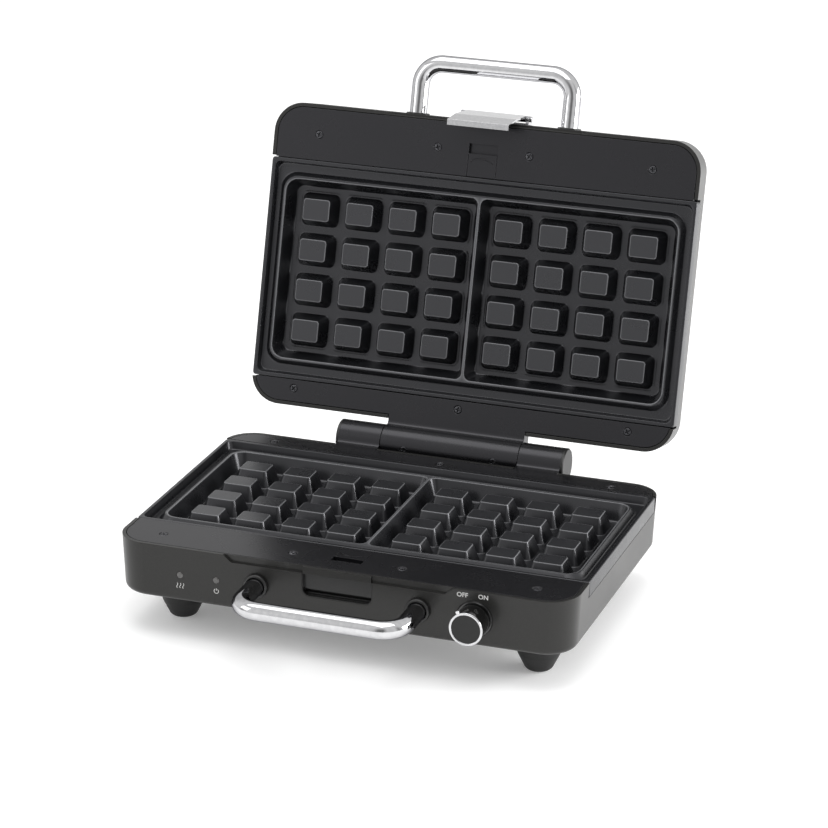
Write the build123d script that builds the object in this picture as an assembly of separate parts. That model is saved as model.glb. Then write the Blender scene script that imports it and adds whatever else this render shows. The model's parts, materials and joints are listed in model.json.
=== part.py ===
from build123d import *
import math
import os

# Countertop cooker with a hinged lid and two removable waffle plates
# It is drawn shut: X to the right, Y to the back from the middle of the plates, Z up from the
# plane where the two halves meet. The lid is then swung open, and the whole is set on Z = 0.

# Clearances
HALF_GAP = 0.4          # each rim stops this far from the meeting plane
FIT = 0.3               # between pieces that move past each other
RUN = 0.05              # radial, of a running fit
SEAT = 0.1              # between pieces that are only laid together
SEAM = 0.5              # dark line round the covers

# Shells
WIDTH = 294.0           # of the lid and of the plates between their side gaps
BASE_STAND_OUT = 1.5    # how far each side of the base stands outside the lid
BASE_DRAFT = 0.05       # how far the side walls lean in per mm of depth
LID_DRAFT = 0.075
FRONT_BAND = 37.5       # from the plate to the front wall
REAR_BAND = 17.8        # from the plate to the rear wall
CORNER_R = 20.0
WALL = 2.4
BASE_DEPTH = 36.0
LID_DEPTH = 30.0
BASE_EDGE_R = 4.0
LID_EDGE_R = 7.0
SIDE_NOTCH_END = 1.0    # from the plate to each end of the cut-out in a side wall
FLOOR_OPENING = (184.0, 114.0)
FLOOR_OPENING_Y = -9.0
FLOOR_OPENING_R = 8.0

# Plates
PLATE_DEPTH = 147.0
PLATE_SEAM = 0.4
SIDE_INSET = 0.3
LIP = 2.5
LIP_DRAFT = 1.0
GUTTER_R = 6.0
GUTTER_DEPTH = 6.0
SKIRT_DEPTH = 10.0
CAST = 3.0
RIDGE_DEPTH = 2.5
RIDGE_TOP = 4.0
RIDGE_X = 136.5
RIDGE_Y = 61.0
RIDGE_R = 9.0
CAVITY_DEPTH = 14.0
CAVITY_DRAFT = 3.0
CAVITY_FLOOR_R = 4.0
PLATE_CORNER_R = 2.0
THUMB_NOTCH = 1.0       # depth of the notch for a thumb in the front lip

# Block pattern of one cavity
BLOCKS = (4, 4)
PITCH_X = 30.6
PITCH_Y = 27.05
GRID_X = 67.5
BLOCK_X = 18.4
BLOCK_Y = 14.2
BLOCK_TOP = 3.3         # below the meeting plane
BLOCK_DRAFT = 3.8       # spread of each side from top to foot
BLOCK_CORNER = 2.4
BLOCK_CORNER_GROWTH = 0.4
BLOCK_BEVEL = 0.6

# Plate tabs and seat
TAB_X = 60.0
TAB_WIDTH = 14.0
TAB_LENGTH = 4.0
TAB_THICK = 2.0
LEDGE = 2.0             # how far the seat reaches under the plate
LEDGE_HALF = 134.0
COVER_THICK = 2.5

# Release sliders
SLOT_HALF = 10.0
SLOT_LENGTH = 21.7
SLIDER_LENGTH = 15.3
SLIDER_FLANGE = 3.3     # how far the flange reaches under the cover on each side
SLIDER_FLANGE_THICK = 2.0
TONGUE_HALF = 8.0
TONGUE_THICK = 2.0
TONGUE_REACH = 3.0
SLIDER_END = 2.0        # how far the flange stays before the rear end
SLIDER_COVER = 1.1      # how far the flange reaches under the cover in front of the slot
SLIDER_RIB_R = 14.0
SLIDER_RIB_WIDTH = 1.2
SLIDER_RIB_RISE = 3.6
SLIDER_RIB_SIDE = 2.0
SLIDER_RIB_FROM_FRONT = 2.5
SLIDER_RIB_DEPTH = 0.5

# Screws of the covers. SIDE is from the side wall, IN is from the front or rear wall.
BASE_FRONT_SCREW_SIDE = 27.2
BASE_FRONT_SCREW_X = 35.4
BASE_FRONT_SCREW_IN = 18.0
LID_FRONT_SCREW_SIDE = 32.0
LID_FRONT_SCREW_X = 31.5
LID_FRONT_SCREW_IN = 20.1
REAR_SCREW_SIDE = 30.7
REAR_SCREW_IN = 11.5
SCREW_HEAD_R = 2.9
SCREW_SHANK_R = 1.5
SCREW_LENGTH = 11.0
SCREW_CONE = 1.5
POST_R = 3.2

# Heating elements and reflectors
ELEMENT_R = 3.25
ELEMENT_X = 108.0
ELEMENT_Y = 46.0
ELEMENT_END_X = 26.0
ELEMENT_BEND_R = 22.0
REFLECTOR_X = 126.0
REFLECTOR_Y = 58.0
REFLECTOR_R = 12.0
SHEET = 0.8
STANDOFF_X = 112.0
STANDOFF_Y = 30.0
STANDOFF_R = 5.0

# Hinge
HINGE_BEHIND = 15.55    # axis behind the rear wall
HINGE_Z = -0.8
HINGE_R = 11.5
BARREL_HALF = 47.5
KNUCKLE_GAP = 0.5
KNUCKLE_LENGTH = 29.0
CAP_THICK = 2.0
HINGE_PIN_R = 3.0
ARM_DEPTH = 10.0
ARM_FILLET = 3.0
LID_OPEN = 105.5        # degrees
BARREL_SCREW_X = 31.0
BARREL_SCREW_CLEAR = 2.0

# Handles
HANDLE_LEG_X = 52.4
TUBE_R = 5.75
BASE_HANDLE_REACH = 36.6  # bar centre before the front wall
LID_HANDLE_REACH = 34.4
HANDLE_BEND_R = 14.5
HANDLE_INSIDE = 8.0
BASE_HANDLE_Z = -17.5
LID_HANDLE_Z = 15.5
FERRULE_R = 7.75
FERRULE_LENGTH = 3.0
FERRULE_BEVEL = 0.8

# Finger recess along the front rims
RECESS_HALF = 75.0
LID_RECESS_HALF = 70.0
RECESS_TAPER = 6.0
RECESS_HEIGHT = 4.75
RECESS_DEPTH = 1.8
RECESS_MIDDLE = 22.0

# Latch window and its catch
WINDOW_HALF = 22.8
WINDOW_TOP = 5.0
WINDOW_BOTTOM = 19.7
WINDOW_R = 5.0
CATCH_FLANGE = 3.5
CATCH_BACK = 2.0
CATCH_STEP = 0.5
LEDGE_SET = 2.6         # face of the catch ledge behind the front wall
LEDGE_UNDER = 15.6      # underside of the catch ledge below the meeting plane
POCKET_DEPTH = 6.0

# Latch clip
CLIP_HALF = 21.0
CLIP_THICK = 1.2
CLIP_PIVOT_OUT = 3.8    # pin centre before the front wall
CLIP_PIVOT_Z = 22.0
CLIP_PIN_R = 1.0
CLIP_TIP_Z = -18.0
CLIP_TIP_OUT = 0.35     # lip tip before the front wall
CLIP_LIP = 2.6          # how far the lip stands in from the blade
CLIP_BOW_Z = -2.0       # where the blade begins to bend inwards
CLIP_REST = 7.0         # degrees that the clip leans in when nothing holds it
BRACKET_SHEET = 1.0
EAR_THICK = 2.0
EAR_GAP = 0.6
EAR_HALF_HEIGHT = 4.0
PIN_HEAD_R = 1.9
PIN_HEAD = 1.0

# Knob
KNOB_SIDE = 60.5        # shaft from the right side wall
KNOB_Z = -18.0
KNOB_R = 10.2
KNOB_TAPER = 0.4
KNOB_LENGTH = 13.6
KNOB_RING_R = 10.65
KNOB_RING_BAND = 1.6
KNOB_RING_LENGTH = 1.7
KNOB_FACE_SET = 0.5
KNOB_POINTER_ANGLE = 118.0
KNOB_POINTER = 1.8
KNOB_POINTER_HALF = 1.1
COLLAR_R = 11.75
COLLAR_THICK = 1.3
SHAFT_R = 3.0
SHAFT_IN_KNOB = 10.0
SWITCH_HALF = 10.0
SWITCH_DEPTH = 18.0
SHAFT_IN_SWITCH = 6.0

# Lamps
LAMP_SIDE = (45.5, 69.5)  # from the left side wall
LAMP_Z = -18.2
LAMP_R = 2.1
LAMP_FLANGE_R = 3.6
LAMP_FLANGE = 2.0
LAMP_BODY_R = 2.6
LAMP_BODY = 8.0
LAMP_PROUD = 0.5
LAMP_TIP_R = 1.5

# Cord gland
GLAND_SIDE = 33.5       # from the left side wall
GLAND_Z = -20.0
GLAND_R = 6.0
GLAND_FLANGE_R = 8.0
GLAND_INNER_FLANGE_R = 7.0
GLAND_OUT = 3.5
GLAND_IN = 5.0
CORD_R = 3.5

# Feet and bottom cover
FOOT_SIDE = 31.2        # foot centre from a side wall
FOOT_FRONT_IN = 38.0    # foot centre behind the front wall
FOOT_REAR_IN = 18.5     # foot centre before the rear wall
FOOT_TOP_R = 14.5
FOOT_MIDDLE_R = 13.4
FOOT_MIDDLE = 14.5      # below the floor, where the sole begins to close
FOOT_BOTTOM_R = 8.0
FOOT_HEIGHT = 25.6
FOOT_ROUND = 4.0
FOOT_PLUG_R = 3.0
FOOT_PLUG_IN = 2.0
COVER_MARGIN = 5.0
COVER_R = 10.0
BOTTOM_COVER_THICK = 1.2
VENTS = 9
VENT_PITCH = 14.0
VENT_LENGTH = 60.0
VENT_WIDTH = 4.0

# Places that follow from the sizes above
PLATE_HALF = PLATE_DEPTH / 2
FRONT_Y = -(PLATE_HALF + FRONT_BAND)
REAR_Y = PLATE_HALF + REAR_BAND
MID_Y = (FRONT_Y + REAR_Y) / 2
DEPTH = REAR_Y - FRONT_Y
INNER_FRONT = FRONT_Y + WALL
INNER_REAR = REAR_Y - WALL
LID_HALF = WIDTH / 2
BASE_HALF = LID_HALF + BASE_STAND_OUT
HINGE_Y = REAR_Y + HINGE_BEHIND
COVER_EDGE = PLATE_HALF + PLATE_SEAM
COVER_UNDER = HALF_GAP + COVER_THICK
SEAT_Z = GUTTER_DEPTH + CAST
CAST_UNDER = CAVITY_DEPTH + CAST
SLOT_FRONT = -(COVER_EDGE + SLOT_LENGTH)
SLIDER_FRONT = -(COVER_EDGE + SLIDER_LENGTH)
KNOB_X = BASE_HALF - KNOB_SIDE
LAMP_X = tuple(side - BASE_HALF for side in LAMP_SIDE)
GLAND_X = GLAND_SIDE - BASE_HALF
FOOT_X = BASE_HALF - FOOT_SIDE
REAR_SCREW_X = LID_HALF - REAR_SCREW_SIDE
CLIP_PIVOT_Y = FRONT_Y - CLIP_PIVOT_OUT
KNUCKLE_IN = BARREL_HALF + KNUCKLE_GAP
KNUCKLE_OUT = KNUCKLE_IN + KNUCKLE_LENGTH
REFLECTOR_TOP = CAST_UNDER + 2 * ELEMENT_R + 2 * SEAT


def block(x0, x1, y0, y1, z0, z1):
    """A box between opposite corners."""
    middle = Pos((x0 + x1) / 2, (y0 + y1) / 2, (z0 + z1) / 2)
    return middle * Box(abs(x1 - x0), abs(y1 - y0), abs(z1 - z0))


def rod(x, y, z0, z1, radius):
    """An upright cylinder."""
    return Pos(x, y, (z0 + z1) / 2) * Cylinder(radius, abs(z1 - z0))


def rod_y(x, y0, y1, z, radius):
    """A cylinder along Y."""
    return Pos(x, (y0 + y1) / 2, z) * Rot(90, 0, 0) * Cylinder(radius, abs(y1 - y0))


def rod_x(x0, x1, y, z, radius):
    """A cylinder along X."""
    return Pos((x0 + x1) / 2, y, z) * Rot(0, 90, 0) * Cylinder(radius, abs(x1 - x0))


def flat(*points):
    """A flat outline through points, facing up whichever way round they run."""
    following = points[1:] + points[:1]
    turn = sum(a[0] * b[1] - b[0] * a[1] for a, b in zip(points, following))
    return Polygon(*(points if turn > 0 else points[::-1]), align=None)


def prism_x(profile, x0, x1):
    """A prism along X from a side view drawn as (y, z)."""
    return Pos(x0, 0, 0) * (Plane.YZ * extrude(profile, x1 - x0))


def prism_y(profile, y0, y1):
    """A prism along Y from a front view drawn as (x, z)."""
    return Pos(0, y1, 0) * (Plane.XZ * extrude(profile, y1 - y0))


def turned(points, x, z):
    """A solid of revolution about the line along Y through (x, z), from (radius, y) points."""
    profile = Polyline(*[(radius, y) for radius, y in points], close=True)
    return Pos(x, 0, z) * revolve(make_face(profile), Axis.Y)


def frustum(foot, top, z_foot, z_top):
    """A straight-sided solid between two plan outlines."""
    return loft([Pos(0, 0, z_foot) * foot, Pos(0, 0, z_top) * top], ruled=True)


def outline(half, inset, lean=0):
    """Plan of a shell at its rim, drawn in by inset, with the sides in by a further lean."""
    return Pos(0, MID_Y) * RectangleRounded(2 * (half - inset - lean), DEPTH - 2 * inset, CORNER_R - inset)


def leaning(half, draft, inset, floor_z):
    """Solid from floor_z up to the meeting plane, with the sides of a shell drawn in by inset."""
    return frustum(outline(half, inset, -draft * floor_z), outline(half, inset), floor_z, 0)


# Shells, both drawn below the meeting plane

def screw_posts(screws, floor_z):
    """Screw posts from the floor of a shell to the underside of its covers, and their bores."""
    posts = [rod(x, y, floor_z, -COVER_UNDER, POST_R) for x, y in screws]
    bores = [rod(x, y, screw_end(), -COVER_UNDER, SCREW_SHANK_R) for x, y in screws]
    return posts, bores


def screw_end():
    """Height of the lower end of a cover screw."""
    return -(HALF_GAP + SCREW_LENGTH)


def shell(half, draft, depth, edge_r, screws):
    """Shell with its side cut-outs, screw posts and reflector standoffs."""
    floor_z = WALL - depth
    outer = leaning(half, draft, 0, -depth)
    outer = fillet(outer.edges().group_by(Axis.Z)[0], edge_r)
    inner = leaning(half, draft, WALL, floor_z)
    inner = fillet(inner.edges().group_by(Axis.Z)[0], max(edge_r - WALL, WALL / 2))
    body = outer - inner - block(-WIDTH, WIDTH, -DEPTH, DEPTH, -HALF_GAP, 0)
    cut_half = PLATE_HALF + SIDE_NOTCH_END
    for side in (-1, 1):
        inside = side * (half - 2 * WALL)
        body -= block(inside, side * WIDTH, -cut_half, cut_half, -(SKIRT_DEPTH + FIT), 0)
    posts, bores = screw_posts(screws, floor_z)
    standoffs = []
    for x in (-STANDOFF_X, STANDOFF_X):
        for y in (-STANDOFF_Y, STANDOFF_Y):
            standoffs.append(rod(x, y, floor_z, -(REFLECTOR_TOP + SHEET), STANDOFF_R))
    return body + posts + standoffs - bores


def recess(x0, x1, taper0, taper1):
    """Finger scoop along the rim of a front wall."""
    low = -RECESS_HEIGHT
    shape = flat((x0, 0), (x1, 0), (x1 - taper1, low), (x0 + taper0, low))
    return prism_y(shape, FRONT_Y - 1, FRONT_Y + RECESS_DEPTH)


def recess_backing(x0, x1):
    """Wall behind a finger scoop, under the cover."""
    top = -(COVER_UNDER + FIT)
    return block(x0, x1, INNER_FRONT, INNER_FRONT + WALL, top, -(RECESS_HEIGHT + WALL))


def base_screws():
    """Places of the screws in the two covers of the base."""
    return front_screws(BASE_HALF - BASE_FRONT_SCREW_SIDE, BASE_FRONT_SCREW_X, BASE_FRONT_SCREW_IN), rear_screws()


def lid_screws():
    """Places of the screws in the two covers of the lid."""
    return front_screws(LID_HALF - LID_FRONT_SCREW_SIDE, LID_FRONT_SCREW_X, LID_FRONT_SCREW_IN), rear_screws()


def front_screws(outer, inner, inside):
    """Places of the four screws in a front cover."""
    return [(side * x, FRONT_Y + inside) for x in (outer, inner) for side in (-1, 1)]


def rear_screws():
    """Places of the screws in a rear cover."""
    return [(x, REAR_Y - REAR_SCREW_IN) for x in (-REAR_SCREW_X, 0, REAR_SCREW_X)]


def foot_places():
    """Centres of the four feet by name."""
    places = {}
    for side, x in (("left", -FOOT_X), ("right", FOOT_X)):
        places["foot_front_" + side] = (x, FRONT_Y + FOOT_FRONT_IN)
        places["foot_rear_" + side] = (x, REAR_Y - FOOT_REAR_IN)
    return places


def window_shape():
    """Front view of the latch window, with rounded lower corners."""
    high = -WINDOW_TOP
    low = -WINDOW_BOTTOM
    shape = flat((-WINDOW_HALF, high), (WINDOW_HALF, high), (WINDOW_HALF, low), (-WINDOW_HALF, low))
    return fillet(shape.vertices().group_by(Axis.Y)[0], WINDOW_R)


def base_housing():
    """Lower shell with everything that passes through its walls."""
    front, rear = base_screws()
    body = shell(BASE_HALF, BASE_DRAFT, BASE_DEPTH, BASE_EDGE_R, front + rear)
    floor_top = WALL - BASE_DEPTH
    opening = Pos(0, FLOOR_OPENING_Y, -BASE_DEPTH) * extrude(RectangleRounded(*FLOOR_OPENING, FLOOR_OPENING_R), WALL)
    cuts = [opening]
    for x, y in foot_places().values():
        cuts.append(rod(x, y, -BASE_DEPTH, floor_top, FOOT_PLUG_R + SEAT))
    for side in (-1, 1):
        inner = side * (WINDOW_HALF + CATCH_FLANGE + SEAM)
        body += recess_backing(inner, side * (RECESS_HALF + WALL))
        cuts.append(recess(*sorted((side * RECESS_MIDDLE, side * RECESS_HALF)),
                           *((RECESS_TAPER, 0) if side < 0 else (0, RECESS_TAPER))))
        arm = (side * (KNUCKLE_IN - KNUCKLE_GAP), side * (KNUCKLE_OUT + KNUCKLE_GAP))
        cuts.append(block(*arm, INNER_REAR - WALL, REAR_Y, -(ARM_DEPTH + FIT), 0))
        cuts.append(rod_y(side * HANDLE_LEG_X, FRONT_Y, INNER_FRONT, BASE_HANDLE_Z, TUBE_R + SEAT))
    cuts.append(prism_y(window_shape(), FRONT_Y, INNER_FRONT))
    cuts.append(rod_y(KNOB_X, FRONT_Y, INNER_FRONT, KNOB_Z, SHAFT_R + FIT))
    for x in LAMP_X:
        cuts.append(rod_y(x, FRONT_Y, INNER_FRONT, LAMP_Z, LAMP_R + SEAT))
    cuts.append(rod_y(GLAND_X, INNER_REAR, REAR_Y, GLAND_Z, GLAND_R + SEAT))
    return body - cuts


def lid_housing():
    """Upper shell, drawn below the meeting plane."""
    front, rear = lid_screws()
    body = shell(LID_HALF, LID_DRAFT, LID_DEPTH, LID_EDGE_R, front + rear)
    body += recess_backing(-(LID_RECESS_HALF + WALL), LID_RECESS_HALF + WALL)
    cuts = [recess(-LID_RECESS_HALF, LID_RECESS_HALF, RECESS_TAPER, RECESS_TAPER)]
    arm = BARREL_HALF + KNUCKLE_GAP
    cuts.append(block(-arm, arm, INNER_REAR - WALL, REAR_Y, -(ARM_DEPTH + FIT), 0))
    for side in (-1, 1):
        cuts.append(rod_y(side * HANDLE_LEG_X, FRONT_Y, INNER_FRONT, -LID_HANDLE_Z, TUBE_R + SEAT))
    return body - cuts


# Covers between the shells and the plates

def cover_part(half, y0, y1):
    """Flat top of a cover between two depths, inside the rim of a shell."""
    sheet = Pos(0, 0, -COVER_UNDER) * extrude(outline(half, WALL + SEAM), COVER_THICK)
    return sheet & block(-WIDTH, WIDTH, y0, y1, -COVER_UNDER, 0)


def countersinks(places):
    """Holes for cover screws."""
    cuts = []
    for x, y in places:
        cuts.append(rod(x, y, -COVER_UNDER, 0, SCREW_SHANK_R + SEAT))
        cone = Cone(SCREW_SHANK_R + SEAT, SCREW_HEAD_R + SEAT, SCREW_CONE)
        cuts.append(Pos(x, y, -HALF_GAP - SCREW_CONE / 2) * cone)
    return cuts


def front_cover(half, places):
    """Front cover with the slider slot and the seat of the plate."""
    body = cover_part(half, FRONT_Y, -COVER_EDGE)
    wall_y = -(COVER_EDGE + COVER_THICK)
    under = -(SEAT_Z + COVER_THICK)
    body += block(-LEDGE_HALF, LEDGE_HALF, wall_y, -COVER_EDGE, under, -COVER_UNDER)
    body += block(-LEDGE_HALF, LEDGE_HALF, wall_y, LEDGE - PLATE_HALF, under, -SEAT_Z)
    gate = SLOT_HALF + SLIDER_FLANGE + SEAM
    cuts = countersinks(places)
    cuts.append(block(-gate, gate, wall_y, LEDGE - PLATE_HALF, under, -COVER_UNDER))
    cuts.append(block(-SLOT_HALF, SLOT_HALF, SLOT_FRONT, LEDGE - PLATE_HALF, -COVER_UNDER, 0))
    return body - cuts


def arm_profile(side):
    """Side view of a hinge arm: barrel, bridge and the fillet between them."""
    face_z = side * HALF_GAP
    deep_z = side * ARM_DEPTH
    ring = Pos(HINGE_Y, HINGE_Z) * Circle(HINGE_R)
    bridge = flat((INNER_REAR - WALL, face_z), (HINGE_Y, face_z), (HINGE_Y, deep_z), (INNER_REAR - WALL, deep_z))
    fillet_z = face_z - side * ARM_FILLET
    reach = HINGE_R + ARM_FILLET
    fillet_y = HINGE_Y - math.sqrt(reach ** 2 - (fillet_z - HINGE_Z) ** 2)
    touch_y = HINGE_Y + (fillet_y - HINGE_Y) * HINGE_R / reach
    touch_z = HINGE_Z + (fillet_z - HINGE_Z) * HINGE_R / reach
    web = flat((fillet_y, face_z), (touch_y, touch_z), (HINGE_Y, face_z))
    web -= Pos(fillet_y, fillet_z) * Circle(ARM_FILLET)
    return ring + bridge + web


def hinge_arm(x0, x1, side):
    """Length of hinge barrel with its bridge into a rear cover."""
    body = prism_x(arm_profile(side), x0, x1)
    return body - rod_x(x0, x1, HINGE_Y, HINGE_Z, HINGE_PIN_R + RUN)


def rear_cover(half, places):
    """Rear cover with the seat and the pockets of the plate."""
    body = cover_part(half, COVER_EDGE, REAR_Y)
    wall_y = COVER_EDGE + COVER_THICK
    under = -(SEAT_Z + COVER_THICK)
    body += block(-LEDGE_HALF, LEDGE_HALF, COVER_EDGE, wall_y, under, -COVER_UNDER)
    body += block(-LEDGE_HALF, LEDGE_HALF, PLATE_HALF - LEDGE, wall_y, under, -SEAT_Z)
    cuts = countersinks(places)
    for side in (-1, 1):
        x = side * TAB_X
        half = TAB_WIDTH / 2 + FIT
        cuts.append(block(x - half, x + half, COVER_EDGE, wall_y, -SEAT_Z, FIT + TAB_THICK - SEAT_Z))
    return body - cuts


def base_rear_cover():
    """Rear cover of the base with the two fixed knuckles."""
    body = rear_cover(BASE_HALF, rear_screws())
    body += hinge_arm(KNUCKLE_IN, KNUCKLE_OUT, -1)
    body += hinge_arm(-KNUCKLE_OUT, -KNUCKLE_IN, -1)
    return body


def lid_rear_cover():
    """Rear cover of the lid with the middle barrel, in its place above the meeting plane."""
    body = mirror(rear_cover(LID_HALF, rear_screws()), about=Plane.XY)
    body += hinge_arm(-BARREL_HALF, BARREL_HALF, 1)
    return body - [barrel_screw_place(side) * barrel_screw_shape(SEAT) for side in (-1, 1)]


def barrel_screw_place(side):
    """Where a barrel screw enters: it faces the front when the lid is open."""
    turn = Location((0, HINGE_Y, HINGE_Z)) * Rot(LID_OPEN, 0, 0)
    return turn * Pos(side * BARREL_SCREW_X, -HINGE_R, 0) * Rot(90, 0, 0)


def barrel_screw_shape(grow):
    """Countersunk screw along Z with its face at Z = 0."""
    length = HINGE_R - HINGE_PIN_R - BARREL_SCREW_CLEAR
    head = Cone(SCREW_SHANK_R + grow, SCREW_HEAD_R + grow, SCREW_CONE)
    shank = Pos(0, 0, -length / 2) * Cylinder(SCREW_SHANK_R + grow, length)
    return Pos(0, 0, -SCREW_CONE / 2) * head + shank


# Waffle plate, drawn below the meeting plane

def plate_outline(inset_x, inset_y, radius):
    """Plan of the plate, drawn in by an inset each way."""
    half_x = WIDTH / 2 - SIDE_INSET
    return RectangleRounded(2 * (half_x - inset_x), 2 * (PLATE_HALF - inset_y), radius)


def cavity_plan(side, grow, radius):
    """Plan of one cavity at the ridge, grown outwards."""
    inner = RIDGE_TOP / 2 - grow
    outer = RIDGE_X - RIDGE_TOP / 2 + grow
    half_y = RIDGE_Y - RIDGE_TOP / 2 + grow
    return Pos(side * (inner + outer) / 2, 0) * RectangleRounded(outer - inner, 2 * half_y, radius)


def block_plan(spread):
    """Plan of one block with cut corners, spread outwards from its top size."""
    half_x = BLOCK_X / 2 + spread
    half_y = BLOCK_Y / 2 + spread
    cut = BLOCK_CORNER + spread * BLOCK_CORNER_GROWTH
    corners = [(half_x, half_y - cut), (half_x - cut, half_y), (cut - half_x, half_y), (-half_x, half_y - cut),
               (-half_x, cut - half_y), (cut - half_x, -half_y), (half_x - cut, -half_y), (half_x, cut - half_y)]
    return flat(*corners)


def waffle_block():
    """One tapered block with a bevel round its top."""
    foot = -(CAVITY_DEPTH + CAST / 2)
    spread = BLOCK_DRAFT * (-foot - BLOCK_TOP) / (CAVITY_DEPTH - BLOCK_TOP)
    bevel_z = -(BLOCK_TOP + BLOCK_BEVEL)
    sides = frustum(block_plan(spread), block_plan(0), foot, bevel_z)
    return sides + frustum(block_plan(0), block_plan(-BLOCK_BEVEL), bevel_z, -BLOCK_TOP)


def waffle_plate():
    """Cast plate: lip, gutter, ridge, two cavities of blocks, rear tabs and side skirts."""
    slope = (GUTTER_DEPTH - RIDGE_DEPTH) / 2
    half_x = WIDTH / 2 - SIDE_INSET
    body = Pos(0, 0, -SEAT_Z) * extrude(plate_outline(0, 0, PLATE_CORNER_R), SEAT_Z - HALF_GAP)
    gutter_in = LIP + LIP_DRAFT
    gutter = frustum(plate_outline(gutter_in, gutter_in, GUTTER_R), plate_outline(LIP, LIP, GUTTER_R + LIP_DRAFT),
                     -GUTTER_DEPTH, 0)
    body -= gutter
    ridge_foot = RectangleRounded(2 * (RIDGE_X + RIDGE_TOP / 2 + slope), 2 * (RIDGE_Y + RIDGE_TOP / 2 + slope),
                                  RIDGE_R + slope)
    ridge_top = RectangleRounded(2 * (RIDGE_X + RIDGE_TOP / 2), 2 * (RIDGE_Y + RIDGE_TOP / 2), RIDGE_R)
    body += frustum(ridge_foot, ridge_top, -GUTTER_DEPTH - CAST / 2, -RIDGE_DEPTH)
    for side in (-1, 1):
        tub = frustum(cavity_plan(side, CAST - CAVITY_DRAFT, RIDGE_R - CAVITY_DRAFT),
                      cavity_plan(side, CAST, RIDGE_R), -CAST_UNDER, -SEAT_Z + CAST / 2)
        body += tub
    for side in (-1, 1):
        body -= frustum(cavity_plan(side, -CAVITY_DRAFT, CAVITY_FLOOR_R),
                        cavity_plan(side, 0, RIDGE_R - RIDGE_TOP), -CAVITY_DEPTH, -RIDGE_DEPTH)
    one = waffle_block()
    blocks = []
    for side in (-1, 1):
        for column in range(BLOCKS[0]):
            for row in range(BLOCKS[1]):
                x = side * GRID_X + (column - (BLOCKS[0] - 1) / 2) * PITCH_X
                y = (row - (BLOCKS[1] - 1) / 2) * PITCH_Y
                blocks.append(Pos(x, y, 0) * one)
    for side in (-1, 1):
        inside = side * (half_x - LIP)
        blocks.append(block(inside, side * half_x, -PLATE_HALF, PLATE_HALF, -SKIRT_DEPTH, -SEAT_Z))
        x = side * TAB_X
        tab = (x - TAB_WIDTH / 2, x + TAB_WIDTH / 2, PLATE_HALF - LIP, PLATE_HALF + TAB_LENGTH)
        blocks.append(block(*tab, -SEAT_Z, TAB_THICK - SEAT_Z))
    notch = block(-SLOT_HALF, SLOT_HALF, -PLATE_HALF, LIP / 2 - PLATE_HALF, -(HALF_GAP + THUMB_NOTCH), 0)
    return body + blocks - notch


# Heat under each plate, drawn below the meeting plane

def heating_element():
    """Round tube bent once round under the cavities."""
    z = -(CAST_UNDER + SEAT + ELEMENT_R)
    points = [(-ELEMENT_END_X, ELEMENT_Y, z), (-ELEMENT_X, ELEMENT_Y, z), (-ELEMENT_X, -ELEMENT_Y, z),
              (ELEMENT_X, -ELEMENT_Y, z), (ELEMENT_X, ELEMENT_Y, z), (ELEMENT_END_X, ELEMENT_Y, z)]
    path = FilletPolyline(*points, radius=ELEMENT_BEND_R)
    return sweep(Plane(path @ 0, z_dir=path % 0) * Circle(ELEMENT_R), path=path)


def reflector():
    """Shallow sheet tray under the element."""
    low = -(REFLECTOR_TOP + SHEET)
    high = -(CAST_UNDER + SEAT)
    outer = Pos(0, 0, low) * extrude(RectangleRounded(2 * REFLECTOR_X, 2 * REFLECTOR_Y, REFLECTOR_R), high - low)
    hollow = RectangleRounded(2 * (REFLECTOR_X - SHEET), 2 * (REFLECTOR_Y - SHEET), REFLECTOR_R - SHEET)
    return outer - Pos(0, 0, -REFLECTOR_TOP) * extrude(hollow, high - low)


# Release slider, drawn below the meeting plane

def release_slider():
    """Thumb slider whose tongue holds the front edge of a plate."""
    half = SLOT_HALF - FIT
    rear = -(COVER_EDGE + SEAT)
    flange_top = -(COVER_UNDER + FIT)
    flange_under = flange_top - SLIDER_FLANGE_THICK
    tongue_top = -(SEAT_Z + FIT)
    tongue_under = tongue_top - TONGUE_THICK
    body = block(-half, half, SLIDER_FRONT, rear, flange_under, -HALF_GAP)
    wide = half + SLIDER_FLANGE
    body += block(-wide, wide, SLOT_FRONT - SLIDER_COVER, rear - SLIDER_END, flange_under, flange_top)
    stem_front = SLIDER_FRONT + SLIDER_LENGTH / 2
    body += block(-TONGUE_HALF, TONGUE_HALF, stem_front, rear, tongue_under, flange_under)
    body += block(-TONGUE_HALF, TONGUE_HALF, stem_front, TONGUE_REACH - PLATE_HALF, tongue_under, tongue_top)
    groove = Circle(SLIDER_RIB_R) - Circle(SLIDER_RIB_R - SLIDER_RIB_WIDTH)
    groove &= Pos(0, SLIDER_RIB_R) * Rectangle(2 * (half - SLIDER_RIB_SIDE), 2 * SLIDER_RIB_RISE)
    groove_y = SLIDER_FRONT + SLIDER_RIB_FROM_FRONT + SLIDER_RIB_R
    groove = Pos(0, groove_y, -HALF_GAP - SLIDER_RIB_DEPTH) * Rot(0, 0, 180) * groove
    return body - extrude(groove, 2 * SLIDER_RIB_DEPTH)


# Screws

def cover_screw(x, y):
    """Countersunk screw, drawn below the meeting plane."""
    head = Pos(x, y, -HALF_GAP - SCREW_CONE / 2) * Cone(SCREW_SHANK_R, SCREW_HEAD_R, SCREW_CONE)
    return head + rod(x, y, screw_end(), -HALF_GAP - SCREW_CONE, SCREW_SHANK_R)


# Handles

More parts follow.
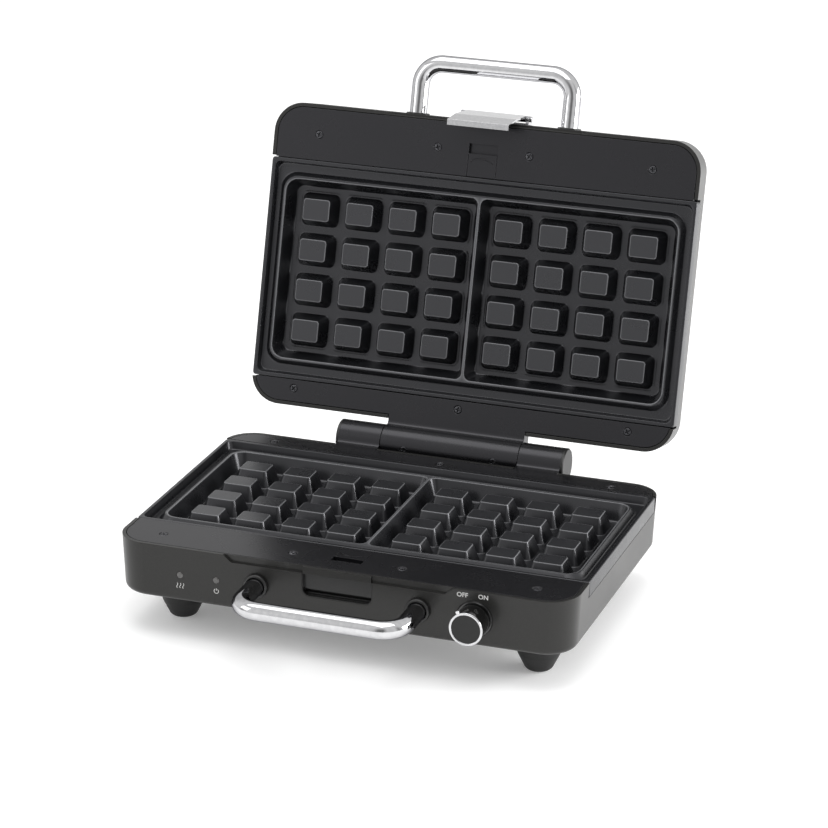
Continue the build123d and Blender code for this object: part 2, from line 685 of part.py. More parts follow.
def handle(reach, z):
    """U tube from inside the front wall out to the bar and back."""
    end_y = INNER_FRONT + HANDLE_INSIDE
    bar_y = FRONT_Y - reach
    x = HANDLE_LEG_X
    path = FilletPolyline((-x, end_y, z), (-x, bar_y, z), (x, bar_y, z), (x, end_y, z), radius=HANDLE_BEND_R)
    return sweep(Plane(path @ 0, z_dir=path % 0) * Circle(TUBE_R), path=path)


def ferrule(x, z):
    """Collar round a handle leg, against the front wall."""
    bore = TUBE_R + SEAT
    out = FRONT_Y - FERRULE_LENGTH
    points = [(bore, FRONT_Y), (FERRULE_R, FRONT_Y), (FERRULE_R, out + FERRULE_BEVEL),
              (FERRULE_R - FERRULE_BEVEL, out), (bore, out)]
    return turned(points, x, z)


# Hinge

def hinge_pin():
    """Pin through the knuckles and the barrel."""
    return rod_x(-KNUCKLE_OUT, KNUCKLE_OUT, HINGE_Y, HINGE_Z, HINGE_PIN_R)


def knuckle_cap(side):
    """Disc that closes the outer end of a knuckle."""
    inside = side * KNUCKLE_OUT
    outside = side * (KNUCKLE_OUT + CAP_THICK)
    disc = rod_x(inside, outside, HINGE_Y, HINGE_Z, HINGE_R)
    return chamfer(disc.edges().sort_by(Axis.X)[-1 if side > 0 else 0], CAP_THICK / 3)


# Latch

def latch_catch():
    """Stepped frame behind the window, with the ledge that the clip hooks under."""
    half = WINDOW_HALF + CATCH_FLANGE
    top = -(WINDOW_TOP - CATCH_FLANGE / 2)
    bottom = -(WINDOW_BOTTOM + CATCH_FLANGE)
    back = FRONT_Y + POCKET_DEPTH
    body = block(-half, half, INNER_FRONT, back + CATCH_BACK, bottom, top)
    inner_half = WINDOW_HALF - CATCH_STEP
    ledge_y = FRONT_Y + LEDGE_SET
    low = CATCH_STEP - WINDOW_BOTTOM
    high = -(WINDOW_TOP + CATCH_STEP)
    cuts = [block(-inner_half, inner_half, INNER_FRONT, ledge_y, low, high)]
    cuts.append(block(-inner_half, inner_half, INNER_FRONT, back, low, -LEDGE_UNDER))
    return body - cuts


def latch_bracket():
    """Plate on the front wall of the lid with two ears."""
    ear_in = CLIP_HALF + EAR_GAP
    ear_out = ear_in + EAR_THICK
    face = FRONT_Y - BRACKET_SHEET
    low = CLIP_PIVOT_Z - EAR_HALF_HEIGHT
    high = CLIP_PIVOT_Z + EAR_HALF_HEIGHT
    body = block(-ear_out, ear_out, face, FRONT_Y, low, high)
    nose = CLIP_PIVOT_Y - EAR_HALF_HEIGHT / 2
    for side in (-1, 1):
        ear = block(side * ear_in, side * ear_out, nose, face, low, high)
        body += chamfer(ear.edges().filter_by(Axis.X).group_by(Axis.Y)[0], EAR_HALF_HEIGHT / 3)
    return body - rod_x(-ear_out, ear_out, CLIP_PIVOT_Y, CLIP_PIVOT_Z, CLIP_PIN_R + SEAT)


def latch_pin():
    """Pin of the clip, with a head outside each ear."""
    end = CLIP_HALF + EAR_GAP + EAR_THICK + SEAT
    body = rod_x(-end, end, CLIP_PIVOT_Y, CLIP_PIVOT_Z, CLIP_PIN_R)
    for side in (-1, 1):
        body += rod_x(side * end, side * (end + PIN_HEAD), CLIP_PIVOT_Y, CLIP_PIVOT_Z, PIN_HEAD_R)
    return body


def latch_clip():
    """Bent plate: rolled eye round the pin, bowed blade and the lip at its end."""
    eye_r = CLIP_PIN_R + RUN + CLIP_THICK
    outside = CLIP_PIVOT_Y - eye_r
    inside = outside + CLIP_THICK
    tip_y = FRONT_Y - CLIP_TIP_OUT
    lip_y = tip_y - CLIP_LIP
    lip_top = CLIP_TIP_Z + CLIP_THICK
    profile = Pos(CLIP_PIVOT_Y, CLIP_PIVOT_Z) * Circle(eye_r)
    blade = flat((outside, CLIP_PIVOT_Z), (inside, CLIP_PIVOT_Z), (inside, CLIP_BOW_Z), (lip_y, lip_top),
                 (tip_y, lip_top), (tip_y, CLIP_TIP_Z), (lip_y - CLIP_THICK, CLIP_TIP_Z), (outside, CLIP_BOW_Z))
    profile = profile + blade - Pos(CLIP_PIVOT_Y, CLIP_PIVOT_Z) * Circle(CLIP_PIN_R + RUN)
    pivot = Location((0, CLIP_PIVOT_Y, CLIP_PIVOT_Z))
    return pivot * Rot(CLIP_REST, 0, 0) * pivot.inverse() * prism_x(profile, -CLIP_HALF, CLIP_HALF)


# Knob

def knob_body():
    """Glossy turned body of the knob."""
    rear = FRONT_Y - COLLAR_THICK - FIT
    front = rear - KNOB_LENGTH
    points = [(SHAFT_R, rear), (KNOB_R, rear), (KNOB_R - KNOB_TAPER, front), (0, front),
              (0, rear - SHAFT_IN_KNOB), (SHAFT_R, rear - SHAFT_IN_KNOB)]
    return turned(points, KNOB_X, KNOB_Z)


def knob_front():
    """Y of the joint between the knob body and its ring."""
    return FRONT_Y - COLLAR_THICK - FIT - KNOB_LENGTH


def knob_ring():
    """Bright ring with a pointer nub, on the front of the knob."""
    front = knob_front() - KNOB_RING_LENGTH
    inner = KNOB_RING_R - KNOB_RING_BAND
    edge = KNOB_RING_LENGTH / 3
    points = [(inner, knob_front()), (KNOB_RING_R, knob_front()), (KNOB_RING_R, front + edge),
              (KNOB_RING_R - edge, front), (inner + edge, front), (inner, front + edge)]
    ring = turned(points, KNOB_X, KNOB_Z)
    nub = block(KNOB_RING_R - edge, KNOB_RING_R + KNOB_POINTER, front + edge, knob_front(),
                -KNOB_POINTER_HALF, KNOB_POINTER_HALF)
    return ring + Pos(KNOB_X, 0, KNOB_Z) * Rot(0, -KNOB_POINTER_ANGLE, 0) * nub


def knob_face():
    """Flat disc inside the ring."""
    radius = KNOB_RING_R - KNOB_RING_BAND - RUN
    return rod_y(KNOB_X, knob_front() - KNOB_RING_LENGTH + KNOB_FACE_SET, knob_front(), KNOB_Z, radius)


def knob_shaft():
    """Shaft from the switch into the knob."""
    inside = INNER_FRONT + SHAFT_IN_SWITCH
    outside = FRONT_Y - COLLAR_THICK - FIT - SHAFT_IN_KNOB
    return rod_y(KNOB_X, outside, inside, KNOB_Z, SHAFT_R)


def knob_collar():
    """Ring on the wall round the shaft."""
    out = FRONT_Y - COLLAR_THICK
    bore = SHAFT_R + FIT
    points = [(bore, FRONT_Y), (COLLAR_R, FRONT_Y), (COLLAR_R - COLLAR_THICK / 2, out), (bore, out)]
    return turned(points, KNOB_X, KNOB_Z)


def rotary_switch():
    """Switch behind the wall that carries the shaft."""
    body = block(KNOB_X - SWITCH_HALF, KNOB_X + SWITCH_HALF, INNER_FRONT, INNER_FRONT + SWITCH_DEPTH,
                 KNOB_Z - SWITCH_HALF, KNOB_Z + SWITCH_HALF)
    return body - rod_y(KNOB_X, INNER_FRONT, INNER_FRONT + SHAFT_IN_SWITCH + FIT, KNOB_Z, SHAFT_R + RUN)


# Lamps, gland, feet and bottom cover

def lamp(x):
    """Indicator lamp: lens in the wall, flange and body behind it."""
    tip = FRONT_Y - LAMP_PROUD
    shoulder = INNER_FRONT + LAMP_FLANGE
    points = [(0, tip), (LAMP_TIP_R, tip), (LAMP_R, FRONT_Y), (LAMP_R, INNER_FRONT), (LAMP_FLANGE_R, INNER_FRONT),
              (LAMP_FLANGE_R, shoulder), (LAMP_BODY_R, shoulder), (LAMP_BODY_R, shoulder + LAMP_BODY),
              (0, shoulder + LAMP_BODY)]
    return turned(points, x, LAMP_Z)


def cord_gland():
    """Bushing in the rear wall with a flange on each side."""
    out = REAR_Y + GLAND_OUT
    points = [(CORD_R, INNER_REAR - GLAND_IN), (GLAND_INNER_FLANGE_R, INNER_REAR - GLAND_IN),
              (GLAND_INNER_FLANGE_R, INNER_REAR), (GLAND_R, INNER_REAR), (GLAND_R, REAR_Y),
              (GLAND_FLANGE_R, REAR_Y), (GLAND_INNER_FLANGE_R, out), (CORD_R, out)]
    return turned(points, GLAND_X, GLAND_Z)


def foot(x, y):
    """Tall rubber foot that closes in to a rounded sole, with a plug through the floor."""
    middle = (FOOT_MIDDLE_R, -FOOT_MIDDLE)
    sole = (FOOT_BOTTOM_R, -FOOT_HEIGHT)
    profile = flat((0, 0), (FOOT_TOP_R, 0), middle, sole, (0, -FOOT_HEIGHT))
    corners = [profile.vertices().sort_by_distance(place)[0] for place in (middle, sole)]
    profile = fillet(corners, FOOT_ROUND)
    body = revolve(Plane.XZ * profile, Axis.Z)
    body += rod(0, 0, 0, WALL + FOOT_PLUG_IN, FOOT_PLUG_R)
    return Pos(x, y, -BASE_DEPTH) * body


def bottom_cover():
    """Cover inside the floor opening, with a row of vents."""
    size = [length + 2 * COVER_MARGIN for length in FLOOR_OPENING]
    floor_top = WALL - BASE_DEPTH
    plate = Pos(0, FLOOR_OPENING_Y, floor_top) * extrude(RectangleRounded(*size, COVER_R), BOTTOM_COVER_THICK)
    cuts = []
    for number in range(VENTS):
        x = (number - (VENTS - 1) / 2) * VENT_PITCH
        slot = Rot(0, 0, 90) * SlotOverall(VENT_LENGTH, VENT_WIDTH)
        cuts.append(Pos(x, FLOOR_OPENING_Y, floor_top) * extrude(slot, BOTTOM_COVER_THICK))
    return plate - cuts


# All pieces, first shut

def base_pieces():
    """Every piece of the base by node name."""
    front, rear = base_screws()
    plate = waffle_plate()
    pieces = {"base_housing": base_housing(), "bottom_cover": bottom_cover(),
              "base_front_strip": front_cover(BASE_HALF, front), "base_rear_strip": base_rear_cover(),
              "lower_waffle_plate": plate, "lower_heating_element": heating_element(),
              "lower_reflector": reflector(), "base_release_slider": release_slider(),
              "base_handle": handle(BASE_HANDLE_REACH, BASE_HANDLE_Z), "hinge_pin": hinge_pin(),
              "latch_catch": latch_catch(), "rotary_switch": rotary_switch(), "knob_collar": knob_collar(),
              "knob_shaft": knob_shaft(), "knob_body": knob_body(), "knob_ring": knob_ring(),
              "knob_face": knob_face(), "heat_lamp": lamp(LAMP_X[0]), "power_lamp": lamp(LAMP_X[1]),
              "cord_gland": cord_gland()}
    for side, name in ((-1, "left"), (1, "right")):
        pieces["base_ferrule_" + name] = ferrule(side * HANDLE_LEG_X, BASE_HANDLE_Z)
        pieces["knuckle_cap_" + name] = knuckle_cap(side)
    for name, place in foot_places().items():
        pieces[name] = foot(*place)
    for number, place in enumerate(front + rear, 1):
        pieces["base_screw_" + str(number)] = cover_screw(*place)
    return pieces


def lid_pieces(plate):
    """Every piece of the lid by node name, still shut."""
    front, rear = lid_screws()
    drawn_below = {"lid_housing": lid_housing(), "lid_front_strip": front_cover(LID_HALF, front),
                   "upper_waffle_plate": plate, "upper_heating_element": heating_element(),
                   "upper_reflector": reflector(), "lid_release_slider": release_slider()}
    for number, place in enumerate(front + rear, 1):
        drawn_below["lid_screw_" + str(number)] = cover_screw(*place)
    pieces = {name: mirror(piece, about=Plane.XY) for name, piece in drawn_below.items()}
    pieces["lid_rear_strip"] = lid_rear_cover()
    pieces["lid_handle"] = handle(LID_HANDLE_REACH, LID_HANDLE_Z)
    pieces["latch_bracket"] = latch_bracket()
    pieces["latch_pin"] = latch_pin()
    pieces["latch_clip"] = latch_clip()
    for side, name in ((-1, "left"), (1, "right")):
        pieces["lid_ferrule_" + name] = ferrule(side * HANDLE_LEG_X, LID_HANDLE_Z)
        pieces["barrel_screw_" + name] = barrel_screw_place(side) * barrel_screw_shape(0)
    return pieces


# The lid swings open, and the middle of the open cooker goes over the origin
base = base_pieces()
lid = lid_pieces(base["lower_waffle_plate"])
hinge_axis = Location((0, HINGE_Y, HINGE_Z))
swing = hinge_axis * Rot(-LID_OPEN, 0, 0) * hinge_axis.inverse()
nodes = dict(base)
for name, piece in lid.items():
    nodes[name] = swing * piece
box = Compound([nodes["base_handle"], nodes["lid_handle"], nodes["lid_housing"]]).bounding_box()
lift = Location((0, -(box.min.Y + box.max.Y) / 2, BASE_DEPTH + FOOT_HEIGHT))

os.makedirs("parts", exist_ok=True)
for name, piece in nodes.items():
    placed = lift * piece
    placed.label = name
    export_step(placed, "parts/" + name + ".step")

print("nodes", len(nodes))
print("lift", lift.position)
print("hinge", HINGE_Y + lift.position.Y, HINGE_Z + lift.position.Z)
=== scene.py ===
import json
import math

import bmesh
import bpy
import numpy as np
from mathutils import Matrix, Vector


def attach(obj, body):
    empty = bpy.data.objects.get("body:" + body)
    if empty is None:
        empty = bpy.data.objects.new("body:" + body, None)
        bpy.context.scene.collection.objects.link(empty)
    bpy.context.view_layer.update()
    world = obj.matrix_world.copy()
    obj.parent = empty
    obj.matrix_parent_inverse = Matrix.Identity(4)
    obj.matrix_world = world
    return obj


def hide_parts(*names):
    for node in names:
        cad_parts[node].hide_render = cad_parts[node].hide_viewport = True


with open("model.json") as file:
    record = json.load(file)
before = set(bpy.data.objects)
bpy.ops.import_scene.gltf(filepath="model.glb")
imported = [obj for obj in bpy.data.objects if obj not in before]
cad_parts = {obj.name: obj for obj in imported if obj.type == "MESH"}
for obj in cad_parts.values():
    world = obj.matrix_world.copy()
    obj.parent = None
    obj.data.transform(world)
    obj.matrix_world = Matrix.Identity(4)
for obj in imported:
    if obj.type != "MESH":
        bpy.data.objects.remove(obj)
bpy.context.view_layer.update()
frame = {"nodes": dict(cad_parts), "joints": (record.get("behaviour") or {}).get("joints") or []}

# Camera and studio
# The cooker stands on a plain pale floor in a bright, even studio. The camera is at the photograph's
# angle and distance, with the whole open cooker in view.

MM = 0.001
joints = {joint["name"]: joint for joint in frame["joints"]}
hinge = Vector(joints["lid_hinge"]["pos_m"])
HINGE_Y = 106.85                    # the hinge axis behind the middle of the shut plates, in mm
HINGE_Z = -0.8                      # and below the plane in which they meet
PLATES_MIDDLE = Vector((0, hinge.y - HINGE_Y * MM, hinge.z - HINGE_Z * MM))

VIEW_AZIMUTH = math.radians(19.29)
VIEW_ELEVATION = math.radians(20.53)
VIEW_ROLL = math.radians(0.49)
VIEW_DISTANCE = 2017.39
VIEW_TARGET = (43.64, -96.84, 102.1)
VIEW_LENS = 147.83
SENSOR_WIDTH = 36
VIEW_NEAREST = 0.1                  # metres in front of the camera
VIEW_FARTHEST = 100

# The camera's own backward, right and upward directions, with the roll about its line of sight.
back = Vector((math.sin(VIEW_AZIMUTH) * math.cos(VIEW_ELEVATION),
               -math.cos(VIEW_AZIMUTH) * math.cos(VIEW_ELEVATION),
               math.sin(VIEW_ELEVATION)))
level = Vector((math.cos(VIEW_AZIMUTH), math.sin(VIEW_AZIMUTH), 0))
upright = back.cross(level)
right = level * math.cos(VIEW_ROLL) + upright * math.sin(VIEW_ROLL)
up = upright * math.cos(VIEW_ROLL) - level * math.sin(VIEW_ROLL)
eye = PLATES_MIDDLE + (back * VIEW_DISTANCE + Vector(VIEW_TARGET)) * MM

camera = bpy.data.objects.new("camera", bpy.data.cameras.new("camera"))
bpy.context.scene.collection.objects.link(camera)
camera.data.sensor_width = SENSOR_WIDTH
camera.data.lens = VIEW_LENS
camera.data.clip_start = VIEW_NEAREST
camera.data.clip_end = VIEW_FARTHEST
camera.matrix_world = Matrix.Translation(eye) @ Matrix((right, up, back)).transposed().to_4x4()
bpy.context.scene.camera = camera
bpy.context.scene.view_settings.view_transform = "Standard"

COOKER_MIDDLE = Vector((0, 0.02, 0.1))


def soft_light(name, place, wide, tall, power):
    """A rectangular area light at place, turned to face the cooker, in metres and watts."""
    lamp = bpy.data.lights.new(name, "AREA")
    lamp.shape = "RECTANGLE"
    lamp.size = wide
    lamp.size_y = tall
    lamp.energy = power
    holder = bpy.data.objects.new(name, lamp)
    bpy.context.scene.collection.objects.link(holder)
    holder.location = place
    holder.rotation_mode = "QUATERNION"
    holder.rotation_quaternion = (Vector(place) - COOKER_MIDDLE).to_track_quat("Z", "Y")


soft_light("overhead", (-0.1, -0.12, 1.5), wide=1.6, tall=1.1, power=10.5)
soft_light("right_window", (1.45, 0.5, 0.42), wide=1.4, tall=0.6, power=26)
soft_light("left_window", (-1.4, -1.0, 1.0), wide=1.0, tall=1.0, power=5)

STUDIO_STRENGTH = 0.88
STUDIO_ROUND = [(-180, 1.0), (-128, 0.75), (-104, 1.1), (-78, 1.05), (-64, 0.45), (-48, 1.1), (-24, 1.15),
                (-12, 0.8), (2, 0.3), (20, 0.25), (34, 0.95), (62, 1.05), (74, 0.4), (90, 1.1), (140, 1.1),
                (180, 1.0)]
CEILING_STARTS = 0.45               # height of a direction, where straight up is 1
CEILING_FULL = 0.8


def color_sockets(sockets):
    """The colour ones among a Mix node's sockets, which share their names with its other kinds."""
    return [socket for socket in sockets if socket.type == "RGBA"]


def studio_world():
    """A white room whose brightness changes with the direction round the cooker, in degrees from the
    front, as between large soft panels. Overhead it is even."""
    world = bpy.data.worlds.new("studio")
    world.use_nodes = True
    nodes, links = world.node_tree.nodes, world.node_tree.links
    place = nodes.new("ShaderNodeTexCoord")
    split = nodes.new("ShaderNodeSeparateXYZ")
    front = nodes.new("ShaderNodeMath")
    front.operation = "MULTIPLY"
    front.inputs[1].default_value = -1
    turn = nodes.new("ShaderNodeMath")
    turn.operation = "ARCTAN2"
    share = nodes.new("ShaderNodeMapRange")
    share.inputs["From Min"].default_value = -math.pi
    share.inputs["From Max"].default_value = math.pi
    ramp = nodes.new("ShaderNodeValToRGB")
    while len(ramp.color_ramp.elements) < len(STUDIO_ROUND):
        ramp.color_ramp.elements.new(0.5)
    for stop, (degrees, value) in zip(ramp.color_ramp.elements, STUDIO_ROUND):
        stop.position = (degrees + 180) / 360
        stop.color = (value, value, value, 1)
    overhead = nodes.new("ShaderNodeMapRange")
    overhead.inputs["From Min"].default_value = CEILING_STARTS
    overhead.inputs["From Max"].default_value = CEILING_FULL
    even = nodes.new("ShaderNodeMix")
    even.data_type = "RGBA"
    around, ceiling = color_sockets(even.inputs)
    ceiling.default_value = (1, 1, 1, 1)
    links.new(place.outputs["Generated"], split.inputs["Vector"])
    links.new(split.outputs["Y"], front.inputs[0])
    links.new(split.outputs["X"], turn.inputs[0])
    links.new(front.outputs["Value"], turn.inputs[1])
    links.new(turn.outputs["Value"], share.inputs["Value"])
    links.new(share.outputs["Result"], ramp.inputs["Fac"])
    links.new(split.outputs["Z"], overhead.inputs["Value"])
    links.new(overhead.outputs["Result"], even.inputs["Factor"])
    links.new(ramp.outputs["Color"], around)
    links.new(color_sockets(even.outputs)[0], nodes["Background"].inputs["Color"])
    nodes["Background"].inputs["Strength"].default_value = STUDIO_STRENGTH
    return world


bpy.context.scene.world = studio_world()

FLOOR_HALF = 30.0
FLOOR_GREY = 0.9
FLOOR_ROUGHNESS = 0.9
FLOOR_GLOW = 0.2


def floor_paper():
    """Matt white paper, lit a little from within so that the shadow on it stays pale."""
    material = bpy.data.materials.new("floor_paper")
    material.use_nodes = True
    shader = material.node_tree.nodes["Principled BSDF"]
    shader.inputs["Base Color"].default_value = (FLOOR_GREY, FLOOR_GREY, FLOOR_GREY, 1)
    shader.inputs["Roughness"].default_value = FLOOR_ROUGHNESS
    shader.inputs["Emission Color"].default_value = (1, 1, 1, 1)
    shader.inputs["Emission Strength"].default_value = FLOOR_GLOW
    return material


floor_mesh = bpy.data.meshes.new("floor")
floor_mesh.from_pydata([(-FLOOR_HALF, -FLOOR_HALF, 0), (FLOOR_HALF, -FLOOR_HALF, 0),
                        (FLOOR_HALF, FLOOR_HALF, 0), (-FLOOR_HALF, FLOOR_HALF, 0)], [], [(0, 1, 2, 3)])
floor = bpy.data.objects.new("floor", floor_mesh)
bpy.context.scene.collection.objects.link(floor)
floor_mesh.materials.append(floor_paper())

# Housings
# The lower and the upper shell are one moulding or pressing each, sprayed with a dark grey
# metallic lacquer whose fine flakes make it brighter where the light runs along the walls.

GRAIN_DETAIL = 3
CLOUD_DETAIL = 4
GRAIN_RANGE = (0.35, 0.65)          # the part of each noise that runs from one end to the other
CLOUD_RANGE = (0.3, 0.7)
EDGE_SAMPLES = 4


def relief_group():
    """Node group: fine noise on Object coordinates gives the grain and its bump, coarse noise takes the
    roughness from low to high, and edges catch the light as if rounded by Edge Round."""
    group = bpy.data.node_groups.new("surface_relief", "ShaderNodeTree")
    face = group.interface
    for name in ("Grain Scale", "Cloud Scale", "Roughness Low", "Roughness High", "Relief", "Relief Height",
                 "Edge Round"):
        face.new_socket(name, in_out="INPUT", socket_type="NodeSocketFloat")
    face.new_socket("Grain", in_out="OUTPUT", socket_type="NodeSocketFloat")
    face.new_socket("Roughness", in_out="OUTPUT", socket_type="NodeSocketFloat")
    face.new_socket("Normal", in_out="OUTPUT", socket_type="NodeSocketVector")
    nodes, links = group.nodes, group.links
    start = nodes.new("NodeGroupInput")
    end = nodes.new("NodeGroupOutput")
    place = nodes.new("ShaderNodeTexCoord")
    grain = nodes.new("ShaderNodeTexNoise")
    grain.inputs["Detail"].default_value = GRAIN_DETAIL
    cloud = nodes.new("ShaderNodeTexNoise")
    cloud.inputs["Detail"].default_value = CLOUD_DETAIL
    spread = nodes.new("ShaderNodeMapRange")
    spread.inputs["From Min"].default_value = CLOUD_RANGE[0]
    spread.inputs["From Max"].default_value = CLOUD_RANGE[1]
    bump = nodes.new("ShaderNodeBump")
    edge = nodes.new("ShaderNodeBevel")
    edge.samples = EDGE_SAMPLES
    links.new(start.outputs["Edge Round"], edge.inputs["Radius"])
    links.new(edge.outputs["Normal"], bump.inputs["Normal"])
    links.new(place.outputs["Object"], grain.inputs["Vector"])
    links.new(place.outputs["Object"], cloud.inputs["Vector"])
    links.new(start.outputs["Grain Scale"], grain.inputs["Scale"])
    links.new(start.outputs["Cloud Scale"], cloud.inputs["Scale"])
    links.new(cloud.outputs["Fac"], spread.inputs["Value"])
    links.new(start.outputs["Roughness Low"], spread.inputs["To Min"])
    links.new(start.outputs["Roughness High"], spread.inputs["To Max"])
    links.new(grain.outputs["Fac"], bump.inputs["Height"])
    links.new(start.outputs["Relief"], bump.inputs["Strength"])
    links.new(start.outputs["Relief Height"], bump.inputs["Distance"])
    links.new(grain.outputs["Fac"], end.inputs["Grain"])
    links.new(spread.outputs["Result"], end.inputs["Roughness"])
    links.new(bump.outputs["Normal"], end.inputs["Normal"])
    return group


RELIEF = relief_group()


def finish(name, dark, light, metallic, gloss, grain, cloud=25.0, relief=0.1, height=0.0001, coat=0.0,
           coat_roughness=0.1, specular=0.5, edge=0.0004, tint=(1, 1, 1), wear_and_highlight=None):
    """Material whose colour runs from dark to light with the grain, and whose roughness is within gloss.
    Given a last, lighter colour, the colour goes over to it where the mesh's own attribute rises to 1: a
    painted highlight along edges, partly rubbing of the coating."""
    material = bpy.data.materials.new(name)
    material.use_nodes = True
    nodes, links = material.node_tree.nodes, material.node_tree.links
    shader = nodes["Principled BSDF"]
    surface = nodes.new("ShaderNodeGroup")
    surface.node_tree = RELIEF
    for socket, value in (("Grain Scale", grain), ("Cloud Scale", cloud), ("Roughness Low", gloss[0]),
                          ("Roughness High", gloss[1]), ("Relief", relief), ("Relief Height", height),
                          ("Edge Round", edge)):
        surface.inputs[socket].default_value = value
    ramp = nodes.new("ShaderNodeValToRGB")
    for stop, position, shade in zip(ramp.color_ramp.elements, GRAIN_RANGE, (dark, light)):
        stop.position = position
        stop.color = (*shade, 1)
    links.new(surface.outputs["Grain"], ramp.inputs["Fac"])
    color = ramp.outputs["Color"]
    # Painted highlight: the mesh's own attribute turns the colour lighter along rounded edges, partly
    # standing for rubbing of the coating.
    if wear_and_highlight:
        wear_and_highlight_reader = nodes.new("ShaderNodeAttribute")
        wear_and_highlight_reader.attribute_name = "wear_and_highlight"
        over = nodes.new("ShaderNodeMix")
        over.data_type = "RGBA"
        coating, wear_and_highlight_color = color_sockets(over.inputs)
        wear_and_highlight_color.default_value = (*wear_and_highlight, 1)
        links.new(wear_and_highlight_reader.outputs["Fac"], over.inputs["Factor"])
        links.new(color, coating)
        color = color_sockets(over.outputs)[0]
    links.new(color, shader.inputs["Base Color"])
    links.new(surface.outputs["Roughness"], shader.inputs["Roughness"])
    links.new(surface.outputs["Normal"], shader.inputs["Normal"])
    shader.inputs["Metallic"].default_value = metallic
    shader.inputs["Coat Weight"].default_value = coat
    shader.inputs["Coat Roughness"].default_value = coat_roughness
    shader.inputs["Specular IOR Level"].default_value = specular
    shader.inputs["Specular Tint"].default_value = (*tint, 1)
    return material


def dress(material, *nodes):
    """Gives nodes of the working model their finish."""
    for node in nodes:
        frame["nodes"][node].data.materials.clear()
        frame["nodes"][node].data.materials.append(material)


LACQUER = finish("housing_lacquer", dark=(0.0165, 0.0162, 0.0153), light=(0.0235, 0.0231, 0.0219),
                 metallic=0.35, gloss=(0.37, 0.40), grain=2600.0, relief=0.06, height=0.00004,
                 coat=0.2, coat_roughness=0.16, specular=0.33, edge=0.0006)
dress(LACQUER, "base_housing", "lid_housing")

# Black covers and release sliders
# Screwed covers of satin black plastic close the shells in front of and behind the plates, and
# carry the hinge. A small slider in each front cover lets its plate out.

STRIP_PLASTIC = finish("strip_plastic", dark=(0.0040, 0.0040, 0.0046), light=(0.0060, 0.0060, 0.0068),
                       metallic=0.0, gloss=(0.25, 0.30), grain=1800.0, relief=0.05, height=0.00003,
                       tint=(0.95, 0.94, 1.0))
dress(STRIP_PLASTIC, "base_front_strip", "base_rear_strip", "lid_front_strip", "lid_rear_strip",
      "base_release_slider", "lid_release_slider")

# Waffle plates
# Two cast aluminium plates with a black non-stick coating. A lip and a gutter run round a rounded
# ridge, and each of the two cavities holds four by four tapered blocks. Two tabs at the rear and a
# slider at the front hold a plate, and it lifts out.

PLATE_HALF_X = {"base": 147.95, "lid": 146.7}
PLATE_HALF_Y = 73.5
PLATE_CORNER = 2.0
RIM_Z = -0.4                        # heights count from the plane in which the plates meet
LIP = 2.5
GUTTER_Z = -6.0
GUTTER_DRAFT = 1.0
GUTTER_CORNERS = (4.0, 4.5)         # seen from above, at the lip's inner edge and the gutter's floor
UNDER_Z = -9.0
SKIRT_Z = -10.0
SIDE_BAND = 1.0

RIDGE_HALF = (136.5, 61.0)
RIDGE_Z = -2.5
RIDGE_TOP_HALF = 0.8
RIDGE_FOOT = 3.6
RIDGE_CORNER = 9.0
RIDGE_EDGE_CORNER = 9.5
RIDGE_FOOT_CORNER = 11.0
FRAME_ROUNDS = (0.6, 0.5, 0.9, 1.2, 0.5)    # lip's two edges, gutter's two sides, ridge's outer edge

CAVITY_Z = -14.0
CAVITY_FOOT = 5.0
CAVITY_FOOT_ROUND = 1.8
CAVITY_EDGE_ROUND = 0.5
CAVITY_BORDER = 4.0
DIVIDER_CORNER = 5.0
END_SHRINK = 0.8                    # of the corner's radius, per mm inwards
END_LEAST = 2.0
DIVIDER_SHRINK = 0.5
DIVIDER_LEAST = 1.5
FLOOR_BELOW = 0.02                  # the floor lies this far under the feet of walls and blocks

TUB_WALL = 1.0
TUB_DRAFT = 3.0
PLATE_UNDER_Z = -17.0

GRID_X = 67.5
BLOCKS = 4
PITCH = (30.6, 27.05)
BLOCK_HALF = (9.2, 7.1)
BLOCK_Z = -3.3
BLOCK_DRAFT = 3.8
BLOCK_CORNER = 1.7
BLOCK_CORNER_GROWTH = 0.6
BLOCK_LEAST_CORNER = 0.3
BLOCK_TOP_INSETS = (6.5, 0.7)       # rings on the flat top, near its middle and beside its edge
BLOCK_EDGE_ROUND = 0.55
BLOCK_FOOT = 1.6
BLOCK_FOOT_ROUND = 1.0

TAB_X = 60.0
TAB_HALF = (7.0, 3.25, 1.0)
TAB_REACH = 4.0

ARC_STEPS = 6
BLOCK_ARC_STEPS = 5
CORNER_STEPS = 7
SOFT_STEPS = 12
TIP_HALF = 0.01                     # half size of a ring that closes a flat surface at its middle
TIP_R = 0.001                       # radius of a ring or a corner that closes to a point
STRAIGHT = 1e-6                     # a smaller turn than this, in radians, is none
NEAR_EDGE = 0.07                    # the lighter edge colour (painted highlight, partly rubbing of the coating) ends this far down a wall, as a share of its height
# How far the coating's colour goes over to the lighter edge colour: a painted highlight on rounded edges,
# partly rubbing of the coating, and a faint one over the block tops.
TOP_WEAR_AND_HIGHLIGHT = 0.06
EDGE_WEAR_AND_HIGHLIGHT = 0.8
WEAR_AND_HIGHLIGHT_MARGIN = 0.7                   # in rows

# The last, lighter colour is a painted highlight on the edges of blocks and ridge, partly rubbing of the
# coating.
NONSTICK = finish("nonstick_coating", dark=(0.0046, 0.0048, 0.0056), light=(0.0076, 0.0079, 0.0090),
                  metallic=0.0, gloss=(0.24, 0.33), grain=2200.0, cloud=40.0, relief=0.12, height=0.00005,
                  specular=0.64, tint=(0.95, 0.95, 1.0), wear_and_highlight=(0.17, 0.172, 0.18))


def in_base(points):
    """Points in mm from the middle of the plates, brought to the base's place in metres."""
    return np.asarray(points, float) * MM + np.array(PLATES_MIDDLE)


